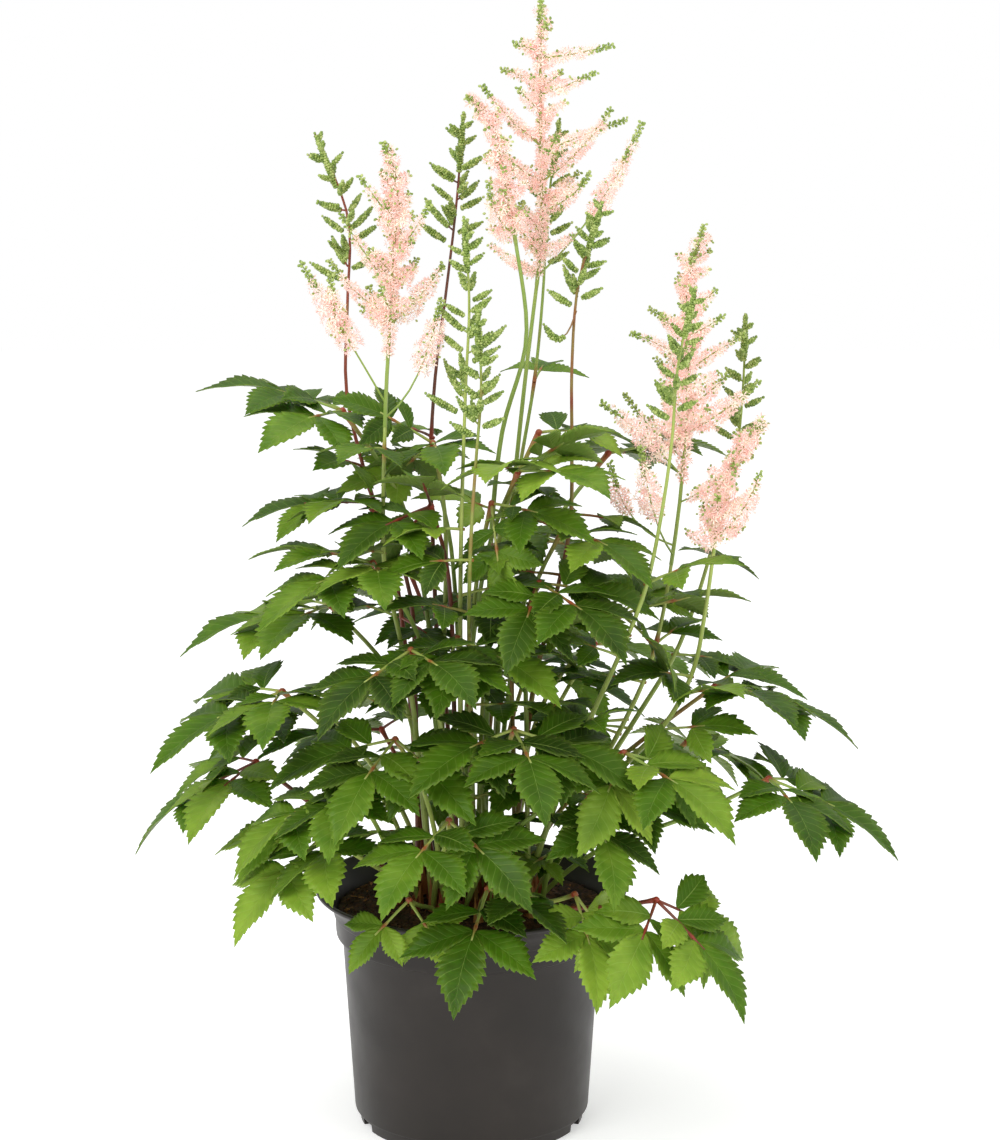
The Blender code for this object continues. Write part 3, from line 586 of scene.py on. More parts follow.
def soilHeight(x, y):
    mound = soil["mound"] * (1 - (math.hypot(x, y) / soil["moundReach"]) ** 2)
    clods = 0.9 * math.sin(0.21 * x + 1.3) * math.cos(0.17 * y - 0.4) + 0.6 * math.sin(0.37 * y + 0.29 * x)
    return soil["edge"] + mound + clods


def buildSoil():
    deselectAll()
    cells, wide = soil["cells"], 2 * soil["radius"] * mm
    bpy.ops.mesh.primitive_grid_add(x_subdivisions=cells, y_subdivisions=cells, size=wide)
    made = bpy.context.active_object
    made.name = "peatTop"
    rim, width = soil["calmRim"]
    for vertex in made.data.vertices:
        x, y = vertex.co.x / mm, vertex.co.y / mm
        # the square is drawn in to a disc
        longest, distance = max(abs(x), abs(y)), max(math.hypot(x, y), 1e-6)
        x, y = x * longest / distance, y * longest / distance
        crumbs = noise.noise(Vector((x, y, 3.0)) * 0.33) + 0.6 * noise.noise(Vector((x, y, 9.0)) * 0.9)
        calm = min(1.0, (rim - math.hypot(x, y)) / width)
        vertex.co = Vector((x, y, soilHeight(x, y) + soil["grain"] * crumbs * calm)) * mm
    makeActive(made)
    bpy.ops.object.mode_set(mode="EDIT")
    bpy.ops.mesh.select_all(action="SELECT")
    bpy.ops.mesh.extrude_region_move(TRANSFORM_OT_translate={"value": (0, 0, -soil["depth"] * mm)})
    middle = (0, 0, (soil["edge"] - soil["depth"]) * mm)
    bpy.ops.transform.resize(value=(soil["taper"], soil["taper"], 0.2), center_override=middle)
    bpy.ops.object.mode_set(mode="OBJECT")
    outwards(made)
    made.data.polygons.foreach_set("use_smooth", [True] * len(made.data.polygons))
    made.data.materials.append(peatSoil)
    finishPiece(made, "potting_soil", "soil")


def buildChips():
    deselectAll()
    bpy.ops.mesh.primitive_ico_sphere_add(subdivisions=1, radius=mm)
    chipPoints, chipFaces = takeMaster(bpy.context.active_object)
    draw = random.Random(41)
    pile = newPile()
    for _ in range(soil["chips"]):
        away, turn = soil["chipReach"] * math.sqrt(draw.random()), draw.uniform(0, fullTurn)
        x, y = away * math.cos(turn), away * math.sin(turn)
        sides = ("chipLength", "chipWidth", "chipHeight")
        size = numpy.array([draw.uniform(*soil[side]) for side in sides])
        spin = Matrix.Rotation(draw.uniform(*anyTurn), 3, "Z")
        spin = spin @ Matrix.Rotation(draw.uniform(*soil["chipTilt"]), 3, "Y")
        base = Vector((x, y, soilHeight(x, y) + draw.uniform(*soil["chipLift"])))
        points = [(spin @ Vector(corner) + base)[:] for corner in chipPoints * size]
        addToPile(pile, points, chipFaces, tone=draw.random() ** 1.5)
    finishPiece(pileToPiece("peatChips", pile, [peatChip], smooth=False), "potting_soil")


buildSoil()
buildChips()
print("soil built")


# leaflets

leaflet = {
    "thickness": 0.34,
    "fold": 0.22,  # how far the halves rise from the midrib
    "tooth": 0.10,  # of the half width
    "toothSpread": (0.6, 1.3),
    "toothOut": (-1.0, 0.1, 1.0),  # a tooth rises over three rows
    "toothForward": (-0.10, 0.25, 0.95),  # and points to the tip
    "sweep": 0.12,  # how far the margin lies ahead of the midrib
    "lean": 0.07,
    "ripples": 8,
    "pucker": 0.012,
    "waves": 1.4,
    "wave": 0.07,
    "seeds": (3, 8, 21, 34),
    "fine": {"teeth": 11, "columns": (-1.0, -0.58, -0.10, 0.0, 0.10, 0.58, 1.0)},
    "light": {"teeth": 7, "columns": (-1.0, -0.52, 0.0, 0.52, 1.0)},
}


def halfWidth(share):
    # of the full width: narrow foot, widest at two fifths, drawn-out tip
    body = math.sin(math.pi * min(share, 1.0) ** 0.80) ** 0.95
    drip = 1 - 0.50 * max(0.0, (share - 0.50) / 0.50) ** 1.3
    return 0.5 * max(body, 0.0) * drip + 0.014 * (1 - share)


def masterLeaflet(kind, seed):
    # a toothed, folded and puckered blade one unit long and one unit wide
    draw = random.Random(seed)
    columns = leaflet[kind]["columns"]
    teeth = leaflet[kind]["teeth"]
    rows = 3 * teeth
    deselectAll()
    bpy.ops.mesh.primitive_grid_add(x_subdivisions=len(columns) - 1, y_subdivisions=rows, size=1.0)
    made = bpy.context.active_object
    lean = draw.uniform(-leaflet["lean"], leaflet["lean"])
    phase = draw.uniform(*anyTurn)
    depths = {(side, k): leaflet["tooth"] * draw.uniform(*leaflet["toothSpread"])
              for side in (-1, 1) for k in range(teeth + 1)}
    for vertex in made.data.vertices:
        column = columns[round((vertex.co.x + 0.5) * (len(columns) - 1))]
        row = round((vertex.co.y + 0.5) * rows)
        share = row / rows
        wide = halfWidth(share)
        forward = 0.0
        if abs(column) == 1.0 and 1 < row < rows - 1:
            step = row % 3
            wide *= 1 + depths[(round(column), row // 3)] * leaflet["toothOut"][step]
            forward = leaflet["toothForward"][step] / rows
        x = column * wide
        y = share + forward + leaflet["sweep"] * abs(column) * math.sin(math.pi * share) * (1 - share)
        z = leaflet["fold"] * abs(x)
        ripple = math.cos(fullTurn * (share * leaflet["ripples"] - abs(column) * 1.3))
        z += leaflet["pucker"] * ripple * (1 - abs(column)) * abs(column) * 4
        wavy = math.sin(fullTurn * leaflet["waves"] * share + phase + 2.0 * (column > 0))
        z += leaflet["wave"] * wide * wavy * column * column
        x += lean * math.sin(math.pi * share)
        vertex.co = (x, y, z)
    uv = numpy.zeros(len(made.data.loops) * 2)
    made.data.uv_layers[0].data.foreach_get("uv", uv)
    points, faces = takeMaster(made)
    return closedBlade(points * mm, faces, uv.reshape(-1, 2))  # one unit long again


def closedBlade(points, faces, uv):
    # a second skin below the first, joined round the edge
    number = len(points)
    edges = {(a, b) for face in faces for a, b in zip(face, face[1:] + face[:1])}
    rim = sorted((a, b) for a, b in edges if (b, a) not in edges)
    lower = [tuple(i + number for i in reversed(face)) for face in faces]
    sides = [(b, a, a + number, b + number) for a, b in rim]
    byVertex = dict(zip((vertex for face in faces for vertex in face), uv))
    allFaces = faces + lower + sides
    allUv = numpy.array([byVertex[i % number] for face in allFaces for i in face])
    return {"points": points, "number": number, "faces": allFaces, "uv": allUv}


leafletMasters = {}
for leafletKind in ("fine", "light"):
    leafletMasters[leafletKind] = [masterLeaflet(leafletKind, seed) for seed in leaflet["seeds"]]
print("leaflet masters ready")


def addLeaflet(pile, start, heading, normal, length, width, droop, draw, tone, kind="fine"):
    # a copy bent down along an arc, and turned over left to right at random
    master = draw.choice(leafletMasters[kind])
    flip = draw.choice((-1, 1))
    side = normal.cross(heading).normalized()
    points = master["points"]
    arc = math.radians(droop)
    angle = arc * numpy.clip(points[:, 1], 0, 1.02)
    ahead = numpy.sin(angle) / arc * length
    below = (1 - numpy.cos(angle)) / arc * length
    head, up = numpy.array(heading[:]), numpy.array(normal[:])
    lifted = numpy.outer(numpy.cos(angle), up) + numpy.outer(numpy.sin(angle), head)
    place = numpy.array(start[:]) + numpy.outer(ahead, head) - numpy.outer(below, up)
    place = place + numpy.outer(points[:, 0] * width * flip, side[:])
    place = place + lifted * (points[:, 2] * width)[:, None]
    half = leaflet["thickness"] / 2
    both = numpy.concatenate((place + lifted * half, place - lifted * half))
    faces, uv = master["faces"], master["uv"]
    if flip > 0:
        faces = [tuple(reversed(face)) for face in faces]
        sizes = [len(face) for face in faces]
        uv = numpy.concatenate([uv[end - size:end][::-1] for end, size in zip(numpy.cumsum(sizes), sizes)])
    marks = numpy.concatenate((numpy.zeros(master["number"]), numpy.ones(master["number"])))
    addToPile(pile, both, faces, uv=uv, tone=tone, mark=marks)


# leaves

leaves = {
    "leafletLength": 55.0,
    "leafletWidth": 25.0,
    "wider": 1.02,
    "endDroop": 34,
    "sideDroop": 30,
    "extraDroop": 28,
    "sideLeaflet": (0.80, 0.84),  # length and width, of the end leaflet's
    "sideLeafletAngle": 64.0,
    "extraWidth": 1.1,
    "branchLength": 31.0,
    "sideBranch": 0.78,
    "sideBranchAngle": 60.0,
    "forkAngles": {3: (0, 1, -1), 2: (-0.35, 0.75)},  # of the side branch angle
    "knob": 1.8,
    "holeDepth": 20.0,
    # more leaflets on each branch: side, size and place along its stalk
    "extraLeaflets": (
        ((1, 0.66, 0.52), (-1, 0.62, 0.58)),
        ((1, 0.66, 0.55), (-1, 0.42, 0.66)),
        ((-1, 0.66, 0.55), (1, 0.42, 0.66)),
        (),
    ),
    "largeLeaf": 0.8,  # smaller leaves have no more leaflets
    "lean": {"top": 0.30, "upper": 0.34, "middle": 0.40, "low": 0.46},
    "toneByTier": {"top": 0.52, "upper": 0.46, "middle": 0.42, "low": 0.48},
    "toneSpread": (-0.20, 0.24),
    "stalkTones": (0.55, 0.75, 0.9, 0.35, 0.12, 0.8),
    "stalkRadius": (1.75, 1.25),
    # the solids were kept apart by seeded bends of each branch and turns of each leaf, tried in this order
    "bends": 40,
    "bendReach": (8, 1.1),
    "bendShrink": 0.008,
    "turns": 20,
    "turnStep": 1.5,
    "lifts": (0.0, 5.0),
    # tier, azimuth, reach, height, pitch, size, branches
    "places": (
        ("top", 176, 76, 440, 16, 1.00, 3),
        ("top", 318, 52, 408, 2, 0.98, 3),
        ("top", 235, 40, 390, -8, 0.95, 3),
        ("top", 12, 84, 412, 2, 0.90, 3),
        ("upper", 184, 84, 324, -8, 1.08, 3),
        ("upper", 222, 76, 360, -6, 1.00, 3),
        ("upper", 268, 64, 318, -14, 1.00, 3),
        ("upper", 304, 72, 350, -8, 1.00, 3),
        ("upper", 347, 92, 322, -8, 1.02, 3),
        ("upper", 55, 72, 350, -10, 1.00, 2),
        ("upper", 122, 72, 330, -10, 1.00, 2),
        ("middle", 200, 118, 280, -16, 1.05, 3),
        ("middle", 242, 92, 262, -20, 1.00, 3),
        ("middle", 286, 92, 270, -16, 1.05, 3),
        ("middle", 325, 116, 252, -20, 1.05, 3),
        ("middle", 2, 148, 272, -8, 1.08, 3),
        ("middle", 45, 108, 280, -16, 1.00, 2),
        ("middle", 152, 108, 250, -18, 1.00, 3),
        ("low", 181, 130, 226, -20, 1.05, 3),
        ("low", 218, 108, 200, -22, 0.98, 3),
        ("low", 277, 84, 172, -26, 1.05, 2),
        ("low", 246, 88, 164, -42, 0.62, 2),
        ("low", 303, 112, 172, -36, 0.90, 2),
        ("low", 328, 150, 172, -40, 1.00, 3),
        ("low", 352, 180, 222, -20, 1.05, 3),
        ("low", 18, 140, 226, -20, 1.00, 3),
        ("low", 100, 112, 202, -22, 1.00, 2),
        ("top", 212, 26, 424, -6, 0.86, 3),
        ("top", 292, 46, 394, -16, 0.90, 2),
        ("top", 348, 42, 430, 0, 0.86, 2),
        ("top", 130, 40, 404, -4, 0.86, 2),
        ("upper", 250, 98, 318, -18, 0.95, 2),
        ("upper", 326, 66, 378, -14, 0.92, 2),
        ("upper", 198, 62, 388, -10, 0.92, 2),
        ("middle", 264, 112, 222, -26, 0.95, 2),
        ("middle", 312, 104, 226, -20, 0.95, 2),
        ("middle", 228, 112, 236, -20, 0.95, 2),
        ("middle", 66, 84, 262, -8, 1.08, 3),
        ("upper", 90, 60, 300, 0, 1.05, 3),
        ("middle", 128, 92, 226, -10, 1.05, 3),
    ),
}


def turnedFrame(heading, normal, pitch, twist, swing):
    side = normal.cross(heading).normalized()
    turn = (Matrix.Rotation(math.radians(swing), 3, normal) @ Matrix.Rotation(math.radians(-pitch), 3, side)
            @ Matrix.Rotation(math.radians(twist), 3, heading))
    return (turn @ heading).normalized(), (turn @ normal).normalized()


def terminalTip(origin, heading, normal, stalk, size):
    # where the end leaflet of the solid stops
    arc = math.radians(leaves["endDroop"])
    length = leaves["leafletLength"] * size
    start = origin + heading * (stalk + 2.6)
    return start + heading * (math.sin(arc) / arc * length) - normal * ((1 - math.cos(arc)) / arc * length)


def findBranch(tree, seed, fork, heading, normal, stalk, size, setBack):
    # the seeded bend whose tip is a corner of the CAD leaf
    draw = random.Random(seed)
    least, growth = leaves["bendReach"]
    for k in range(leaves["bends"]):
        reach = least + growth * k
        pitch, twist, swing = (draw.uniform(-reach, reach) for _ in range(3))
        used = size * (1.0 - leaves["bendShrink"] * k)
        ahead, up = turnedFrame(heading, normal, pitch, twist, swing * 0.7)
        origin = fork + ahead * setBack
        if isThere(tree, terminalTip(origin, ahead, up, stalk, used)):
            return origin, ahead, up, used
    return None


def addBranch(pile, origin, ahead, up, stalk, size, draw, tone, stalkTone, extra, kind="fine"):
    side = up.cross(ahead).normalized()
    length, width = leaves["leafletLength"] * size, leaves["leafletWidth"] * size * leaves["wider"]
    hub = origin + ahead * (stalk + 1.3)
    points = smoothPath([origin - ahead * 2.0, origin + ahead * stalk * 0.5 + up * 0.5, hub,
                         origin + ahead * (stalk + 9.0)], 9)
    radii = [1.05 - 0.05 * i for i in range(9)]
    radii[6] = 1.15
    tubeAlong(pile, points, radii, 6, stalkTone, [0.8, 0.15, 0, 0, 0, 0.1, 0.9, 0.3, 0.0])

    def tint():
        return min(max(tone + draw.uniform(-0.20, 0.20), 0.02), 0.98)

    start = origin + ahead * (stalk + 2.6)
    addLeaflet(pile, start, ahead, up, length, width, leaves["endDroop"], draw, tint(), kind)
    shorter, narrower = leaves["sideLeaflet"]
    for sign in (1, -1):
        way = Matrix.Rotation(math.radians(sign * leaves["sideLeafletAngle"]), 3, up) @ ahead
        start = hub + side * sign * 0.75
        long, wide = length * shorter, width * narrower
        addLeaflet(pile, start, way, up, long, wide, leaves["sideDroop"], draw, tint(), kind)
    for sign, scale, at in extra:
        way = Matrix.Rotation(math.radians(sign * draw.uniform(58, 72)), 3, up) @ ahead
        way, lifted = turnedFrame(way, up, draw.uniform(6, 20), draw.uniform(-14, 14), 0)
        start = origin + ahead * stalk * at + up * 0.8
        long, wide = length * scale, width * scale * leaves["extraWidth"]
        addLeaflet(pile, start, way, lifted, long, wide, leaves["extraDroop"], draw, tint(), "light")


def petioleCurve(leaf, foot, shift, lift):
    tier, azimuth, reach, height, _, _, _ = leaf
    lean = leaves["lean"][tier]
    ground = foot.z + leaves["holeDepth"] - 1.5
    turn = math.radians(azimuth + leaves["turnStep"] * shift)
    fork = Vector((reach * math.cos(turn), reach * math.sin(turn), height + lift))
    out = Vector((math.cos(turn), math.sin(turn), 0))
    rise = height - ground
    knee = foot + Vector((0, 0, leaves["holeDepth"] + rise * 0.42)) + out * reach * 0.06
    knee += Vector((-out.y, out.x, 0)) * (1.6 * shift)
    arrive = (out * (1 - lean) + Vector((0, 0, lean + 0.12))).normalized()
    shoulder = fork - arrive * min(rise * 0.38, reach * 0.8)
    inside = Vector((foot.x, foot.y, ground + 1.0))
    return out, fork, interpolate_bezier(inside, knee, shoulder, fork, 4)


def findLeaf(number, leaf, tree, foot):
    # the turn and lift at which most branches meet the solid
    _, _, _, _, pitch, size, branches = leaf
    tilt = math.radians(pitch)
    setBack = leaves["knob"] * 0.76
    found = None
    for k in range(len(leaves["lifts"]) * leaves["turns"]):
        shift = (-1) ** k * ((k % leaves["turns"] + 1) // 2)
        out, fork, bent = petioleCurve(leaf, foot, shift, leaves["lifts"][k // leaves["turns"]])
        heading = out * math.cos(tilt) + Vector((0, 0, math.sin(tilt)))
        normal = Vector((0, 0, math.cos(tilt))) - out * math.sin(tilt)
        parts = []
        for n, angle in enumerate(leaves["forkAngles"][branches]):
            way = Matrix.Rotation(math.radians(angle * leaves["sideBranchAngle"]), 3, normal) @ heading
            stalk = leaves["branchLength"] * size * (1.0 if n == 0 else leaves["sideBranch"])
            branch = findBranch(tree, number * 10 + n, fork, way, normal, stalk, size, setBack)
            if branch:
                parts.append((branch, stalk, n))
        if parts and (found is None or len(parts) > len(found[0])):
            found = (parts, fork, bent)
    return found


def buildLeaf(number, leaf):
    tier, size = leaf[0], leaf[5]
    nodeName = f"leaf_{number:02d}_{tier}"
    tree, foot = cadTree(nodeName)
    found = findLeaf(number, leaf, tree, foot)
    if found is None:
        print("no match for", nodeName)
        return
    parts, fork, bent = found
    draw = random.Random(number)
    pile = newPile()
    tone = leaves["toneByTier"][tier] + draw.uniform(*leaves["toneSpread"])
    stalkTone = draw.choice(leaves["stalkTones"])
    line = smoothPath([foot + Vector((0, 0, 4)), *bent], 22)
    last = len(line) - 1
    atFoot, atFork = leaves["stalkRadius"]
    radii = [atFoot + (atFork - atFoot) * i / last for i in range(len(line))]
    radii[-1], radii[-2] = 1.9, 1.35
    marks = [0.7, 0.35] + [0.0] * (last - 3) + [0.35, 1.0]
    tubeAlong(pile, line, radii, 8, stalkTone, marks)
    along = (line[-1] - line[-2]).normalized()
    knob = [fork + along * step for step in (-2.2, -0.8, 0.9, 2.0)]
    tubeAlong(pile, knob, [1.35, 2.05, 2.0, 1.0], 8, stalkTone, [0.6, 1.0, 1.0, 0.9])
    for (origin, ahead, up, used), stalk, n in parts:
        extra = leaves["extraLeaflets"][min(n, len(parts) - 1) if size > leaves["largeLeaf"] else -1]
        addBranch(pile, origin, ahead, up, stalk, used, draw, tone, stalkTone, extra)
    finishPiece(pileToPiece(f"leaf{number:02d}", pile, [leafBlade, leafStalk]), "leaf_green", nodeName)


for leafNumber, leafPlace in enumerate(leaves["places"], 1):
    buildLeaf(leafNumber, leafPlace)
print("leaves built")


# florets and buds

floret = {
    "petals": 5,
    "petalLength": 3.3,
    "petalWidth": 1.0,
    "stamens": 2,
    "stamenHeight": 2.1,
    "stamenReach": 1.15,
    "stamenWidth": 0.56,
    "perMillimetre": 0.60,
    "reach": 1.25,
    "stillInBud": 0.16,  # share of the florets that haven't opened
    "ochreTips": (1, 0.8, 0.4, 0.1),
}
bud = {"radius": 0.95, "long": 1.30, "spacing": 1.55, "perMillimetre": 2.6}


def masterFloret():
    points, faces, marks = [], [], []

    def sliver(base, left, right, tip, tipMark):
        start = len(points)
        points.extend(corner[:] for corner in (base, left, right, tip))
        marks.extend((0.0, 0.0, 0.0, tipMark))
        for face in ((0, 1, 3), (0, 3, 2), (0, 2, 1), (1, 2, 3)):
            faces.append(tuple(start + i for i in face))

    for k in range(floret["petals"]):
        turn = fullTurn * k / floret["petals"]
        out = Vector((math.cos(turn), math.sin(turn), 0))
        side = Vector((-out.y, out.x, 0)) * floret["petalWidth"] / 2
        base = out * 0.15 + Vector((0, 0, -0.25))
        middle = out * floret["petalLength"] * 0.55 + Vector((0, 0, 0.55))
        tip = out * floret["petalLength"] + Vector((0, 0, 0.7 + 0.5 * (k % 2)))
        sliver(base, middle + side, middle - side, tip, 0.0)
    for k in range(floret["stamens"]):
        turn = fullTurn * (k + 0.35) / floret["stamens"]
        out = Vector((math.cos(turn), math.sin(turn), 0))
        side = Vector((-out.y, out.x, 0)) * floret["stamenWidth"] / 2
        end = out * floret["stamenReach"] + Vector((0, 0, floret["stamenHeight"]))
        sliver(out * 0.2, end * 0.72 + side, end * 0.72 - side, end, 1.0)
    return numpy.array(points), faces, numpy.array(marks)


def masterBud():
    # a small round bead, drawn out along its own axis
    deselectAll()
    bpy.ops.mesh.primitive_ico_sphere_add(subdivisions=1, radius=mm)
    points, faces = takeMaster(bpy.context.active_object)
    return points * numpy.array((bud["radius"], bud["radius"], bud["radius"] * bud["long"])), faces


floretPoints, floretFaces, floretMarks = masterFloret()
budPoints, budFaces = masterBud()


def frameAlong(out, draw):
    # a turn that sends +Z to out, with a free spin
    side = across(out, draw.uniform(*anyTurn))
    return numpy.array((side[:], out.cross(side)[:], out[:]))


def addFloret(pile, place, out, size, draw, tone, ochre):
    turned = floretPoints @ frameAlong(out, draw) * size + numpy.array(place[:])
    addToPile(pile, turned, floretFaces, tone=tone, mark=floretMarks * ochre)


def addBud(pile, place, out, size, draw, tone):
    turned = budPoints @ frameAlong(out, draw) * size + numpy.array(place[:])
    addToPile(pile, turned, budFaces, tone=tone, material=2)


def swell(share, bare, thick):
    # a branch is widest near its foot and narrows to its tip
    if share <= bare:
        return 0.65
    along = (share - bare) / (1 - bare)
    return max(thick * min(0.62 + 1.6 * along, 1.0) * (1 - along) ** 0.6, 0.28 * thick)


def dressPink(pile, path, thick, bare, draw, budShare=0.82):
    # florets crowd round the branch, and its end is still in bud
    length = lengthOf(path)
    fine = smoothPath(path, 24)
    share = bare
    turn = draw.uniform(*anyTurn)
    while share < 1.0:
        place, along = placeAt(fine, share)
        radius = swell(share, bare, thick)
        share += 1 / (length * max(floret["perMillimetre"] * radius, 1.5))
        turn += goldenTurn
        out = (across(along, turn) + along * draw.uniform(0.0, 0.6)).normalized()
        if share > budShare + draw.uniform(-0.10, 0.10):
            size, tone = draw.uniform(0.8, 1.1), draw.uniform(0.3, 0.9)
            addBud(pile, place + out * min(radius, 1.6), out, size, draw, tone)
            continue
        depth = radius * floret["reach"] * math.sqrt(draw.uniform(0.06, 1.0)) - 1.0
        if draw.random() < floret["stillInBud"]:
            size, tone = draw.uniform(0.65, 0.95), draw.uniform(0.4, 1.0)
            addBud(pile, place + out * (depth + 1.4), out, size, draw, tone)
            continue
        tone, size = draw.random(), draw.uniform(0.75, 1.15)
        ochre = draw.choice(floret["ochreTips"])
        addFloret(pile, place + out * max(depth, 0.4), out, size, draw, tone, ochre)


def dressCatkin(pile, path, radius, bare, draw):
    # beads of buds in rings, slimmer at both ends
    length = lengthOf(path) * (1 - bare)
    fine = smoothPath(path, 16)
    rings = max(round(length / bud["spacing"]), 3)
    for k in range(rings + 1):
        place, along = placeAt(fine, bare + (1 - bare) * k / rings)
        here = radius * (0.62 + 0.6 * math.sin(math.pi * min(k / rings + 0.12, 1.0)) ** 0.7)
        number = max(round(bud["perMillimetre"] * here), 3) if k < rings else 1
        for n in range(number):
            turn = fullTurn * (n + 0.5 * (k % 2)) / number + draw.uniform(-0.2, 0.2)
            out = (across(along, turn) + along * 0.55).normalized()
            away = out * max(here - 0.8, 0.3) if k < rings else along * 0.6
            addBud(pile, place + away, out, draw.uniform(0.85, 1.15), draw, draw.uniform(0.15, 0.85))


# flower stems

